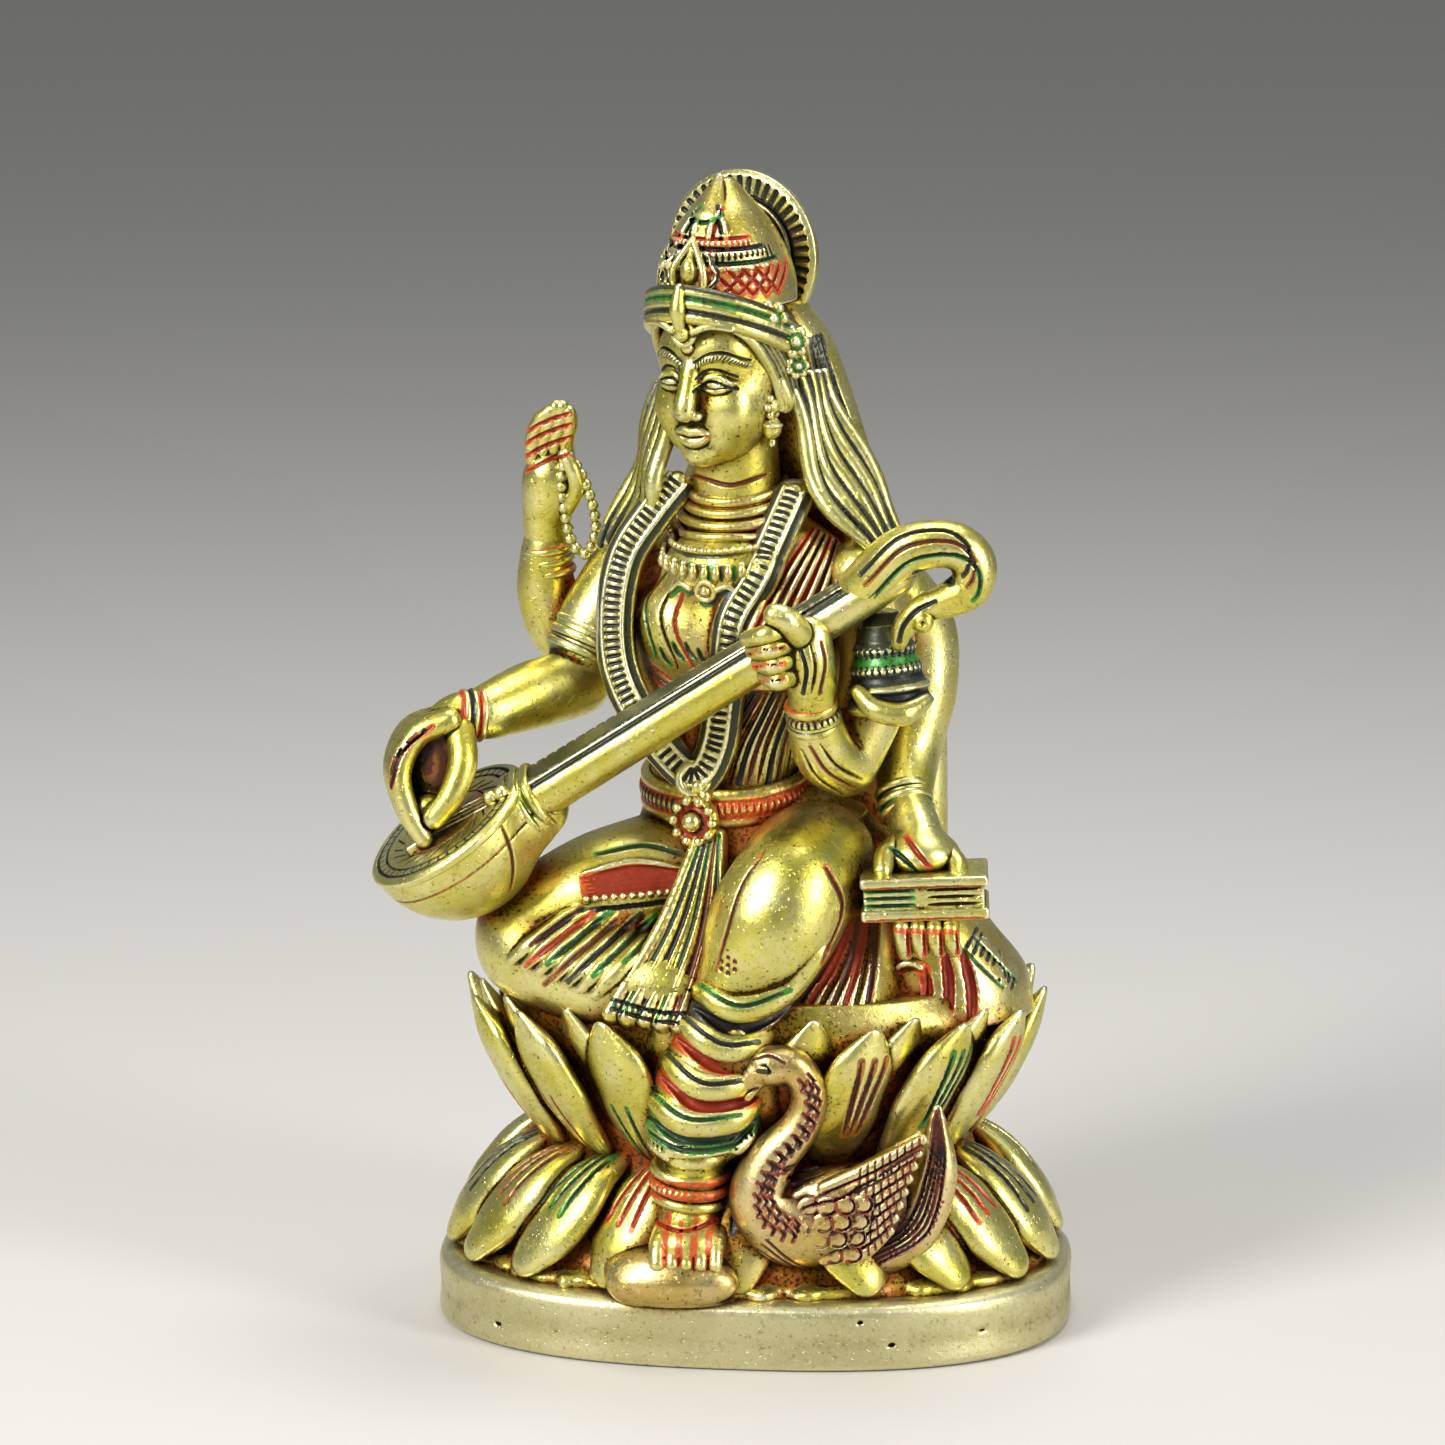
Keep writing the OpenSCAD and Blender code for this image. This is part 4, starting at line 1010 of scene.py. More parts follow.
def veil():
    clay = Clay("veil", cell=0.26, pad=6)
    clay.add(shell([(-0.6, 4.4, 141, 6.5, 5, -20), (0.8, 4.8, 136, 9, 5.4, -20), (2, 5.2, 129, 10.8, 5, -20),
                    (3, 6, 120, 13, 4.4, -20), (3.4, 6.4, 113, 15.6, 4.2, -18), (5, 7, 100, 18.4, 4.2, -15),
                    (6.4, 7.4, 89, 19.4, 4.4, -12), (8, 8, 80, 18, 4.6, -10), (8.4, 8, 70, 17.6, 5, -8),
                    (8, 8, 58, 18, 6, -4), (8, 8, 50, 19, 7, 0)], 2.6))
    edge = [(9.8, 138), (12.6, 129), (18.6, 113.6), (24.4, 92), (25.2, 75)]
    inner = [(7.6, 137), (9.6, 129), (16.4, 113.4), (21.4, 97), (22.4, 78)]
    engrave(clay, between(inner, edge, 4, 0.1, 0.8), -6, 0.55, 0.45, ("dark",), 16)
    return [clay]


# ---- crown and halo ----

HALO = Pose((-2.6, 7.4, 146.4), -24, 0)


def crown_band():
    band = Clay("crown_band", cell=0.15, pad=8)
    for k, (z, r, tint) in enumerate(((10.6, 1.0, "dark"), (12.3, 1.05, "green"), (13.9, 0.9, "dark"))):
        band.tube(around(HEAD, 9.7 - 0.1 * k, 10.3 - 0.1 * k, z, lift=-10), r, 0.03)
        band.paint(around(HEAD, 10.2, 10.8, z + 0.85, -130, 130, lift=-10), 0.75, tint)
    band.tube(HEAD(bend([(0, -11, 9), (0, -11.4, 11.6), (0, -10.8, 14.4)], 0.5)), (0.7, 1.1, 0.7), 0.1)
    band.add(ball(HEAD(0, -10.6, 8.3), 1.1), 0.1)
    band.add(ring(HEAD(0, -10.2, 8.3), HEAD.way(0, -1, 0), 1.6, 0.4), 0.1)
    for side in (-1, 1):
        curl = HEAD(bend([(side * 1.6, -10.3, 8.6), (side * 4, -9.9, 9.4), (side * 6.6, -8.6, 9)], 0.4))
        band.tube(curl, (0.55, 0.4), 0.1).paint(curl + HEAD.way(0, 0, -0.6), 0.5, "dark")
    return [band]


def crown_cone():
    cone = Clay("crown_cone", "crown_finial", cell=0.16, pad=4, slot="tinted_brass")
    widths = ((11, 9.1), (14, 9), (17, 8.2), (20, 6.8), (23, 4.9), (25.5, 2.8), (27.4, 1.2))
    cone.add(shell([(*HEAD(0, 1.2, z), a, a * 1.05, HEAD_TURN) for z, a in widths], 2.1))
    cone.add(bar(HEAD(0, -3, 22.8), HEAD(0, -0.4, 27.6), 2.6, 0.7, HEAD.way(1, 0, 0), 0.6), 0.3)
    foot = HEAD(bend([(-2, -3.2, 22.8), (0, -4, 22), (2, -3, 22.8)], 0.4))
    cone.groove(cone.settle(foot), 0.5, 0.5, "green")
    for z, tint, half in ((20.6, "red", 65), (19.2, "dark", 80), (17.4, "green", 95)):
        a = np.interp(z, (17, 20, 23), (8.3, 6.9, 5))
        hoop = cone.settle(around(HEAD, a, a, z, -half, half))
        cone.groove(hoop, 0.6, 0.5, tint, spread=1.6)
        cone.ridge(cone.settle(around(HEAD, a, a, z - 0.8, -half, half)), 0.75, 0.4)
    cone.ribs(cone.settle(around(HEAD, 7, 7, 19.9, -70, 70)), 1.2, 0.75, 0.3, 0.3, "red")
    cone.ribs(cone.settle(around(HEAD, 7.8, 7.8, 18.2, 10, 95)), 1.6, 0.8, 0.3, 0.3, "dark")
    for k in range(5):
        for lean in (-1, 1):
            a0, a1 = 28 + 13 * k, 28 + 13 * k + 22 * lean
            path = [HEAD(9 * math.sin(math.radians(a)), 1.2 - 9.2 * math.cos(math.radians(a)), z)
                    for a, z in ((a0, 13), (mix(a0, a1, 0.5), 14.8), (a1, 16.6))]
            cone.groove(cone.settle(bend(path, 0.5)), 0.5, 0.5, "red", spread=2.6)
    for side in (-1, 1):
        for k in range(3):
            if side > 0 and k:
                continue
            lobe = [HEAD(side * (2.6 + k * 1.8), -9.6, 13.6),
                    HEAD(side * (4.2 + k * 1.5), -8.2, 16 - k * 0.4),
                    HEAD(side * (2 + k * 1.3), -7.8, 19.4 - k * 0.9)]
            cone.ridge(cone.settle(bend(lobe, 0.4)), 0.8, 0.5)
            edge = cone.settle(bend([p + HEAD.way(side * 0.75, 0, 0) for p in lobe], 0.4))
            cone.groove(edge, 0.4, 0.4, ("dark", "green")[k % 2])

    for a, z0, z1, tint in ((-62, 13.4, 18.6, "green"), (-38, 13.4, 20.2, "dark"), (-16, 17.4, 23.6, "green"),
                            (-74, 18, 22, "dark"), (22, 18.6, 24, "red")):
        for lean, colour in ((-11, tint), (11, "dark")):
            leaf = []
            for b, z in ((a + lean, z0), (a + lean * 0.8, mix(z0, z1, 0.55)), (a, z1)):
                r = np.interp(z, (12, 17, 20, 23, 26), (9.4, 8.4, 6.9, 5, 2.8))
                leaf.append(HEAD(r * math.sin(math.radians(b)), 1.2 - r * math.cos(math.radians(b)), z))
            leaf = cone.settle(bend(leaf, 0.4))
            cone.ridge(leaf, 0.7, 0.4)
            cone.groove(cone.settle(leaf - HEAD.way(math.copysign(0.7, lean), 0, 0)), 0.5, 0.45, colour)

    jewel = Clay("crown_jewel", cell=0.13, pad=4)
    jewel.add(blob(HEAD(0, -8.4, 16.2), (1.2, 1.0, 1.7), HEAD), 0.1)
    jewel.tube(HEAD([(0, -8.4, 17), (0, -7.2, 19.6)]), (0.7, 0.25), 0.5)
    for side in (-1, 1):
        arch = HEAD(bend([(side * 2.4, -8.6, 14.6), (side * 2.2, -8.5, 16.8), (0, -7.2, 20.4)], 0.4))
        jewel.tube(arch, (0.5, 0.4), 0.1)
        cone.paint(arch + HEAD.way(-side * 0.6, 0.3, 0), 0.6, "dark")
        cone.paint(arch + HEAD.way(side * 0.7, 0.3, 0), 0.6, "green")
    return [cone, jewel]


def side_flower():
    flower = Clay("side_flower", cell=0.16, pad=4.5)
    for at, size in (((8.6, -2.2, 9.6), 2.3), ((10.2, 1, 6), 2.1), ((10.2, 1.6, 2.6), 1.7)):
        hub, out = HEAD(at), unit(HEAD.way(0.75, -0.62, 0.1))
        face = Pose(hub, up=np.cross(out, unit(np.cross(UP, out))), front=out)
        flower.add(ball(hub, size * 0.75), 0.2)
        for k in range(7):
            a = math.radians(360 * k / 7)
            spot = face(size * 0.72 * math.cos(a), -0.5, size * 0.72 * math.sin(a))
            flower.add(ball(spot, size * 0.36), 0.1)
        flower.add(ball(face(0, -size * 0.75, 0), size * 0.3), 0.05)
        flower.paint(circle(face, size * 0.48, 12, -size * 0.6), 0.4, "green")
    flower.tube(HEAD(bend([(9, -0.5, 0.5), (9.6, 0.4, -2), (8.6, 1, -4)], 0.6)), (1, 0.8, 0.5), 0.2)
    return [flower]


def earrings():
    drops = Clay("earrings", cell=0.14, pad=4)
    for side in (-1, 1):
        drops.add(ball(HEAD(side * 7.9, -1.2, -2.6), 1.2), 0.1)
        for k in range(6):
            a = math.radians(60 * k)
            drops.add(ball(HEAD(side * 8.1, -1.2 + 1.3 * math.cos(a), -2.6 + 1.3 * math.sin(a)), 0.6), 0.1)
        drops.add(blob(HEAD(side * 7.9, -1.2, -5.6), (1.35, 1.35, 1.6)), 0.1)
        drops.add(ring(HEAD(side * 7.9, -1.2, -5.2), UP, 1.25, 0.3), 0.05)
        drops.add(blob(HEAD(side * 7.9, -1.2, -7.6), (0.5, 0.5, 0.7)), 0.1)
    return [drops]


def halo():
    clay = Clay("halo", cell=0.17, pad=2, slot="dark_brass")
    out = HALO.way(0, -1, 0)
    clay.add(lathe(HALO.o, out, [(0, -1.1), (10.8, -1.1), (11.5, -0.5), (11.6, 0.6), (10.9, 1.1), (8.4, 0.9),
                                 (8.2, 0.3), (0, 0.3)]), 0)
    for r in (7.5, 6.2, 4.9):
        clay.add(ring(HALO(0, -0.4, 0), out, r, 0.42, 1.6), 0.05)
        clay.paint(circle(HALO, r - 0.65, 50, -0.3), 1.3, "dark")
    clay.paint(circle(HALO, 7.9, 60, -0.5), 0.8, "dark")
    rays = 44
    for k in range(rays):
        a = 2 * math.pi * k / rays
        ray = [HALO(r * math.cos(a), -1.1, r * math.sin(a)) for r in (8.6, 10.5)]
        clay.cut(bar(ray[0], ray[1], 0.3, 0.36), 0.05).paint(np.array(ray), 0.62, "dark")
    return [clay]


# ---- arms ----

def finger(c, points, r):
    """One finger through its joints, thinner to the tip."""
    c.tube(bend(points, 0.6), (r, r * 0.95, r * 0.86, r * 0.74), 0.12)


def hoops(c, at, way, offs, r, wire, gap, painted, width, tints):
    """A stack of rings round a wrist, with paint beside each one."""
    for off, tint in zip(offs, tints):
        c.add(ring(at + way * off, way, r, wire), 0.05)
        c.paint(loop(at + way * (off + gap), way, painted), width, tint)


def right_front_arm():
    rf = Clay("right_front_arm", cell=0.22, pad=3.5)
    upper = mix(RIGHT_SHOULDER, RIGHT_ELBOW, 0.55) + vec(-1.2, 0, 0.2)
    lower = mix(RIGHT_ELBOW, RIGHT_WRIST, 0.5) + UP * 0.4
    rf.tube(bend([RIGHT_SHOULDER, upper, RIGHT_ELBOW], 1), (4.9, 4.7, 4.1), 1)
    rf.tube(bend([RIGHT_ELBOW, lower, RIGHT_WRIST], 1), (4.1, 4.1, 3.1), 1.2)

    armlet = Clay("right_armlet", cell=0.16, pad=2.5)
    at = mix(RIGHT_SHOULDER, RIGHT_ELBOW, 0.66) + vec(-1.2, 0, 0.2)
    way = unit(RIGHT_ELBOW - RIGHT_SHOULDER)
    for off, wire, tint in ((-1.9, 0.75, "green"), (-0.2, 0.85, "dark"), (1.5, 0.75, "green")):
        armlet.add(ring(at + way * off, way, 4.55, wire), 0.05)
        armlet.paint(loop(at + way * (off + 0.85), way, 5, (-0.3, -1, 0)), 0.55, tint)
    rf.paint(loop(at + way * 3, way, 4.3), 0.5, "dark")
    return [rf, armlet]


def right_front_hand():
    hand = Clay("right_front_hand", cell=0.16, pad=4)
    hand.tube([RIGHT_WRIST, (-38.6, -14.4, 86)], (3.1, 3.3), 0.5)
    hand.add(blob((-40, -15, 85.2), (3.4, 3.4, 3.2)), 1)
    hand.add(blob((-41.6, -16.6, 79.4), (4.4, 2.6, 6.4)), 1)
    hand.add(blob((-42.4, -19.8, 73.6), (2.4, 1.8, 2.6)), 1.4)
    for i in range(4):
        x, y = -0.5 * i, 1.5 * i
        finger(hand, [(-39.6, -18.6 + y, 86.2), (-43.8 + x, -19.4 + y, 84.4), (-46 + x, -20.8 + y, 79.6),
                      (-44.8 + x, -21.6 + y, 74.4), (-42.8 + x, -21.6 + y, 70.6)], 1.7)
    finger(hand, [(-38.4, -17.6, 84.6), (-37.6, -20, 81), (-38.8, -21.4, 77), (-41.2, -22, 73.6)], 2.1)
    way = (-0.9, -0.35, 0.1)
    for k, tint in enumerate(("red", "dark", "red")):
        at = mix(RIGHT_WRIST, vec(-38.6, -14.4, 86), 0.1 + 0.42 * k)
        hand.add(ring(at, way, 3.2, 0.55), 0.1)
        hand.paint(loop(at + vec(-0.6, -0.2, 0), way, 3.6), 0.6, tint)
    for i, tint in enumerate(("red", "dark", "amber")):
        line = [(-41 - 1.1 * i, 87 - 0.6 * i), (-45 - 0.7 * i, 83.4 - 0.8 * i), (-46.6 - 0.1 * i, 78.6)]
        hand.groove(look(hand, line, -26), 0.45, 0.45, tint)
    hand.paint(vec([(-41.6, -19, 83), (-41.4, -19.4, 79)]), 2.2, "amber")
    hand.paint(vec([(-42.4, -19.2, 82.6), (-42.6, -19.4, 79.4)]), 0.9, "brown")
    return [hand]


def right_rear_arm():
    rr = Clay("right_rear_arm", cell=0.22, pad=3.5)
    joints = [(-17.5, 6, 102), (-23.4, 9, 96.5), REAR_ELBOW + vec(0.4, 0, -0.6), (-29.8, 7.4, 99), REAR_WRIST]
    rr.tube(bend(joints, 1), (4, 4, 4.1, 3.6, 2.9), 1)
    return [rr]


def right_rear_bangle():
    bangle = Clay("right_rear_bangle", cell=0.15, pad=3.5)
    way = unit(REAR_WRIST - REAR_ELBOW + vec(0, 0, 6))
    hoops(bangle, REAR_WRIST, way, (-4.2, -2.6, -1), 2.9, 0.72, 0.8, 3.3, 0.5, ("red", "amber", "red"))
    return [bangle]


def right_rear_hand():
    palm = Clay("right_rear_hand", cell=0.15, pad=3)
    palm.tube(bend([REAR_WRIST, (-29.6, 5.8, 111), (-29, 4.8, 116)], 0.8), (2.7, 3, 3.4), 0.6)
    palm.add(blob((-29, 4.2, 114.6), (3.6, 2.3, 5), Pose((0, 0, 0), -15)), 0.8)
    for i in range(4):
        x = -30.9 + 1.5 * i
        tip = (-28.6 + 0.9 * i, 2.2, 126.2 - 0.7 * abs(i - 1.5))
        finger(palm, [(x + 0.3, 4.2, 116), (x - 0.2, 3.8, 120), (x + 0.6, 2.8, 123.4), tip], 1.25)
    finger(palm, [(-26.4, 3.4, 111.6), (-24.8, 1.6, 114.6), (-25.2, 0.6, 117.4), (-26.4, 0.8, 119.4)], 1.2)
    for z in (118.4, 120.4, 122.2, 123.8):
        line = bend([(-32, -3, z - 1.6), (-29, -3, z), (-25.6, -3, z + 1.3)], 0.5)
        palm.groove(palm.drop(line, (0, 1, 0), 0, 12), 0.55, 0.35, "red")
    return [palm]


def prayer_beads():
    mala = Clay("prayer_beads", cell=0.14, pad=3, slot="dark_brass")
    thread = bend([(-25.8, 1.6, 119), (-23.4, 1.4, 115), (-22.2, 1.6, 109.4), (-23.6, 2.2, 105.6),
                   (-25.6, 2.6, 107), (-26.6, 2.6, 111.4), (-27, 2, 116)], 0.4, True)
    mala.tube(thread, 0.42, 0.02)
    length, spot = walk(thread)
    for at in spot(np.linspace(0, length, int(length / 1.45), endpoint=False)):
        mala.add(ball(at, 0.82), 0.03)
    mala.paint(thread + vec(-0.9, 0.8, 0), 0.7, "dark")
    return [mala]


def left_front_arm():
    lf = Clay("left_front_arm", cell=0.22, pad=3.5)
    lf.tube(bend([LEFT_SHOULDER, (17.2, -8, 92), LEFT_ELBOW + vec(0, 0, -0.5)], 1), (4.9, 4.6, 4), 1)
    lf.tube(bend([LEFT_ELBOW + vec(0, -0.6, 0), (10.6, -15.4, 82.4), LEFT_WRIST], 1), (3.9, 3.6, 3), 1)
    elbow = between([(7, 83.4), (9, 79.4), (13, 76.6)], [(10.6, 85), (13, 82), (16.6, 80)], 4)
    engrave(lf, elbow, -22, 0.45, 0.3, ("amber", None))
    return [lf]


def left_front_bangle():
    wrist = Clay("left_front_bangle", cell=0.14, pad=2)
    way = unit(LEFT_PALM - LEFT_WRIST + vec(0.6, 0, 0))
    hoops(wrist, LEFT_WRIST, way, (-2.4, -0.9, 0.6), 3.0, 0.75, 0.75, 3.5, 0.45, ("dark", "amber", "red"))
    wrist.ribs(loop(LEFT_WRIST - way * 0.9, way, 3.72), 1.4, 0.9, 0.3, 0.3, "dark")
    return [wrist]


def left_front_hand():
    grip = Clay("left_front_hand", cell=0.15, pad=4)
    grip.tube(bend([LEFT_WRIST, (9.4, -20.4, 93), (8.8, -21.6, 97)], 0.8), (2.9, 3.2, 3.4), 0.5)
    grip.add(blob((8.8, -21.4, 97.6), (3.4, 2.6, 4.6), Pose((0, 0, 0), 0, 10, 8)), 0.8)
    finger(grip, [(8, -22.4, 99), (7.4, -24.6, 101), (6.4, -25.8, 102.4), (5, -26, 103)], 2.1)
    for i in range(4):
        root = vec(7 + 0.2 * i, -22.8 + 0.5 * i, 100.6 - 2.1 * i)
        knuckle = vec(3.4 + 0.6 * i, -25.8 + 0.3 * i, 100.2 - 2.1 * i)
        tip = vec(1.2 + 0.7 * i, -24.2 + 0.4 * i, 99.4 - 1.7 * i)
        finger(grip, [root, mix(root, knuckle, 0.6) + vec(0, -0.8, 0.3), knuckle, tip], 1.5)
        if i:
            gap = [(6.6, 99.6 - 2.1 * i + 2), (4, 99.6 - 2.1 * i + 1.6), (1.6, 100.2 - 1.8 * i)]
            grip.groove(look(grip, gap, -30), 0.5, 0.6, ("red", "amber")[i % 2], spread=1.7)
    back = between([(8.6, 99), (9.4, 96), (9, 93)], [(11.4, 100), (12, 97), (11.2, 93)], 3)
    engrave(grip, back, -28, 0.45, 0.3, ("dark", None, "amber"))
    return [grip]


def left_rear_arm():
    lr = Clay("left_rear_arm", cell=0.22, pad=4)
    lr.tube(bend([(18, -1, 103), (22, 2.2, 96), (22.4, 1.4, 88), (20.9, -1.4, 80), LEFT_REAR_WRIST], 1),
            (4.6, 4.6, 4.5, 4.1, 3.1), 1)
    return [lr]


def left_rear_bangle():
    cuff = Clay("left_rear_bangle", cell=0.15, pad=3)
    way = unit(LEFT_REAR_PALM - LEFT_REAR_WRIST + vec(-2, 2, 0))
    hoops(cuff, LEFT_REAR_WRIST, way, (-1.6, 0, 1.6), 3.2, 0.7, 0.8, 3.6, 0.45, ("dark", "green", "amber"))
    return [cuff]


def left_rear_hand():
    rest = Clay("left_rear_hand", cell=0.15, pad=4)
    rest.tube(bend([LEFT_REAR_WRIST, (22.6, -11.4, 71.6), (24, -14.6, 69.2)], 0.8), (2.9, 3.2, 3), 0.5)
    rest.add(blob((24.4, -14.4, 69.2), (4.6, 4.4, 2.6), Pose((0, 0, 0), 10, 0, 14)), 1)
    rest.add(blob((23.6, -15.4, 68.6), (5, 4.6, 2.8)), 1.2)
    finger(rest, [(20.6, -15, 69.6), (19.2, -18, 68.8), (19, -20, 67.4)], 1.7)
    finger(rest, [(27, -15, 69), (28.8, -17.6, 67.8), (29, -19.4, 66.6)], 1.6)
    for i in range(4):
        x = 21.6 + 2.2 * i
        tip = (x + 0.6, -21.4, 56.4 + 0.2 * i)
        finger(rest, [(x, -17, 61.4), (x, -21, 60.2), (x + 0.2, -21.8, 58.4), tip], 1.35)
        rest.groove(look(rest, [(x + 1.1, 60), (x + 1.3, 56.6)], -24, back=3, reach=5), 0.5, 0.5, "red")
        rest.paint(vec([(x - 1, -22.6, 60), (x + 1, -22.6, 59.6)]), 0.5, "red")
    back = [[(22.3, 72.5), (23.6, 70.6), (25.4, 68.4)], [(20.4, 70.8), (22, 69.4), (24, 67.4)]]
    engrave(rest, back, -22, 0.7, 0.5, ("red", "green"))
    return [rest]


def book():
    clay = Clay("book", cell=0.17, pad=3)
    lean = (4, 0, -2.4)
    leaf = Pose(BOOK + vec(0.4, 0, 0.4), *lean)
    clay.add(block(Pose(leaf(0, 0, 2.1), *lean), (8.6, 5.6, 0.75), 0.5), 0.05)
    clay.add(block(Pose(leaf(0, 0, -2.3), *lean), (8.6, 5.6, 0.8), 0.5), 0.05)
    clay.add(block(Pose(leaf(-0.1, 0.1, 0), *lean), (8.1, 5.2, 2), 0.4), 0.1)
    for z in (-0.9, 0.1, 1.1):
        for outer, mid, inner, tint in ((8.2, 3, 0.5, None), (-8.2, -3, -1.5, "green")):
            line = leaf(bend([(outer, -7, z), (mid, -7, z), (inner, -7, z)], 0.6))
            clay.groove(clay.drop(line, leaf.way(0, 1, 0), 0, 4), 0.4, 0.35, tint)
    for line in ([(-8.6, -7, -2.9), (8.6, -7, -2.9)], [(-8, -7, 1.45), (8, -7, 1.45)]):
        clay.groove(clay.drop(leaf(even(line, 24)), leaf.way(0, 1, 0), 0, 4), 0.4, 0.3, "red", 0.7)
    return [clay]


# ---- lute ----

def on_lute(t, off=0.0, up=0.0):
    """A place on the lute: t along its neck from the bowl, off to the side, up from the soundboard."""
    return BOARD_AT + NECK_WAY * t + LUTE_SIDE * off + BOARD_UP * up


def narrowing(t, wide=1.0, slim=0.8):
    """How the lute's neck narrows from the bowl to the scroll."""
    return np.interp(t, (10, 68), (wide, slim))


def lute_bowl():
    bowl = Clay("lute_bowl", cell=0.22, pad=4.5)
    bowl.add(blob(BOARD_AT - BOARD_UP * 0.5, (12.2, 12, 12.6), LUTE))
    bowl.trim(BOARD_AT, BOARD_UP, 0.6)
    bowl.add(blob(BOARD_AT + NECK_WAY * 10.5 - BOARD_UP * 4.4, (5.4, 4.6, 4.6), LUTE), 3)
    bowl.groove(bowl.settle(around(LUTE, 11.9, 11.8, -3.2)), 0.35, 0.25, "amber", 0.6)
    crease = LUTE(bend([(8.6, -8.6, -0.8), (7.4, -8.9, -5.4), (3.6, -7.4, -10)], 0.8))
    bowl.groove(bowl.settle(crease), 0.5, 0.3, "amber", 0.7)
    return [bowl]


def lute_soundboard():
    board = Clay("lute_soundboard", cell=0.16, pad=2.5)
    rim = [(0, -1), (11.6, -1), (12.3, -0.5), (12.4, 0.3), (11.8, 0.8), (0, 0.8)]
    board.add(lathe(BOARD_AT, BOARD_UP, rim), 0)

    def hoop(r):
        return board.drop(around(LUTE, r, r) + BOARD_UP * 2, -BOARD_UP, 0, 4)

    for r, width, tint in ((11, 0.4, "dark"), (9.6, 0.3, "dark"), (6.4, 0.3, "amber")):
        board.groove(hoop(r), width, 0.35, tint, ends=1)
    board.ribs(hoop(10.3), 1.0, 1.5, 0.25, 0.22, "dark")
    board.ribs(hoop(7.6), 1.6, 2.1, 0.25, 0.26, "dark", 1.2)
    bridge = Pose(LUTE(-4.6, 0, 1.2), up=BOARD_UP, front=LUTE.way(0, -1, 0))
    board.add(block(bridge, (0.9, 4.4, 0.9), 0.4), 0.2)
    return [board]


def lute_neck():
    neck = Clay("lute_neck", cell=0.18, pad=4.5)
    neck.add(bar(on_lute(9, up=-2.6), on_lute(70, up=-2.6), 4.6, 3.7, LUTE_SIDE, 0.8), 0)
    neck.trim(BOARD_AT + BOARD_UP * 0.4, BOARD_UP, 0.35)
    for off in (-3.5, -2.35, -1.2, -0.05, 1.1, 1.9, 3.3):
        path = vec([on_lute(t, off * narrowing(t), 0.4) for t in np.arange(12, 68, 0.8)])
        neck.groove(path, 0.66, 0.9, "dark", ends=1)
    ticks = vec([on_lute(t, 2.7 * narrowing(t), 0.4) for t in np.arange(12, 68, 0.8)])
    neck.ribs(ticks, 1.4, 1.6, 0.5, 0.36, "dark")
    low_edge = vec([on_lute(t, narrowing(t, 4.3, 3.4), -1) for t in np.arange(14, 67, 0.8)])
    neck.groove(neck.settle(low_edge), 0.4, 0.3, "amber", 0.6)
    return [neck]


def lute_strings():
    strings = Clay("lute_strings", cell=0.13, pad=3)
    for k in range(4):
        off = -2.9 + 1.15 * k
        run = [on_lute(-4.6, off * 1.1, 1.75), on_lute(12, off, 0.2), on_lute(67, off * 0.8, 0.2)]
        strings.tube(run, 0.18, 0)
    return [strings]


def lute_collar():
    collar = Clay("lute_collar", cell=0.14, pad=4.5)

    def hug(t, wide, tall):
        """A loop round the neck."""
        place = Pose(on_lute(t, up=-3), up=NECK_WAY, front=-BOARD_UP)
        return place([(wide * math.sin(a), -tall * math.cos(a), 0) for a in np.linspace(0, 2 * math.pi, 40)])

    for t, r in ((9.2, 5.1), (11, 5.3), (12.8, 4.9)):
        collar.tube(hug(t, r * 0.95, r * 0.84), 0.72, 0.05)
    collar.trim(BOARD_AT + BOARD_UP * 1.1, BOARD_UP, 0.4)
    for t in (10.1, 11.9):
        collar.paint(hug(t, 5.3, 4.2), 0.55, "green")
    for t, up in ((8, 1.4), (9.6, 1.2)):
        collar.add(ball(on_lute(t, -3, up), 1.1), 0.2)
    return [collar]


def lute_scroll():
    scroll = Clay("lute_scroll", cell=0.18, pad=6.5)
    hook = bend([on_lute(66, up=-2.2), (21.6, -20, 110.8), (27.6, -20, 111.8), (30.6, -19.6, 109.6),
                 (30.4, -19.4, 106.2), (27.4, -19.2, 104.2), (24.4, -19, 103.2)], 0.8)
    scroll.tube(hook, (3.6, 3.4, 3.2, 3.0, 2.9, 2.6, 1.7), 0.3)
    for off, tint in ((-1.9, "green"), (0.4, "amber"), (2.2, "dark")):
        line = scroll.drop(hook[: int(len(hook) * 0.8)] + vec(-0.35, 0, 0.8) * off, VIEW, 6, 10)
        scroll.groove(line, 0.5, 0.4, tint)
    tail = bend([(25.6, -19, 103.6), (23.2, -19.4, 102.4), (21.4, -19.2, 100.2), (20.8, -18.6, 98)], 0.6)
    scroll.tube(tail, (1.9, 1.7, 1.5, 1.0), 0.3)
    scroll.groove(scroll.drop(tail + vec(0, 0, 0.3), VIEW, 5, 9), 0.5, 0.4, "dark")
    scroll.add(blob((24.2, -20.6, 101.4), (1.4, 1.2, 1.4)), 0.2)
    scroll.cut(blob((24.2, -22, 101.4), (0.5, 0.7, 0.5)), 0.1)
    inside = bend([(23.4, -22, 108.4), (26.6, -22, 108.8), (28, -22, 107.2)], 0.5)
    scroll.groove(scroll.drop(inside, VIEW, 4, 9), 1.0, 0.8, "dark")
    return [scroll]


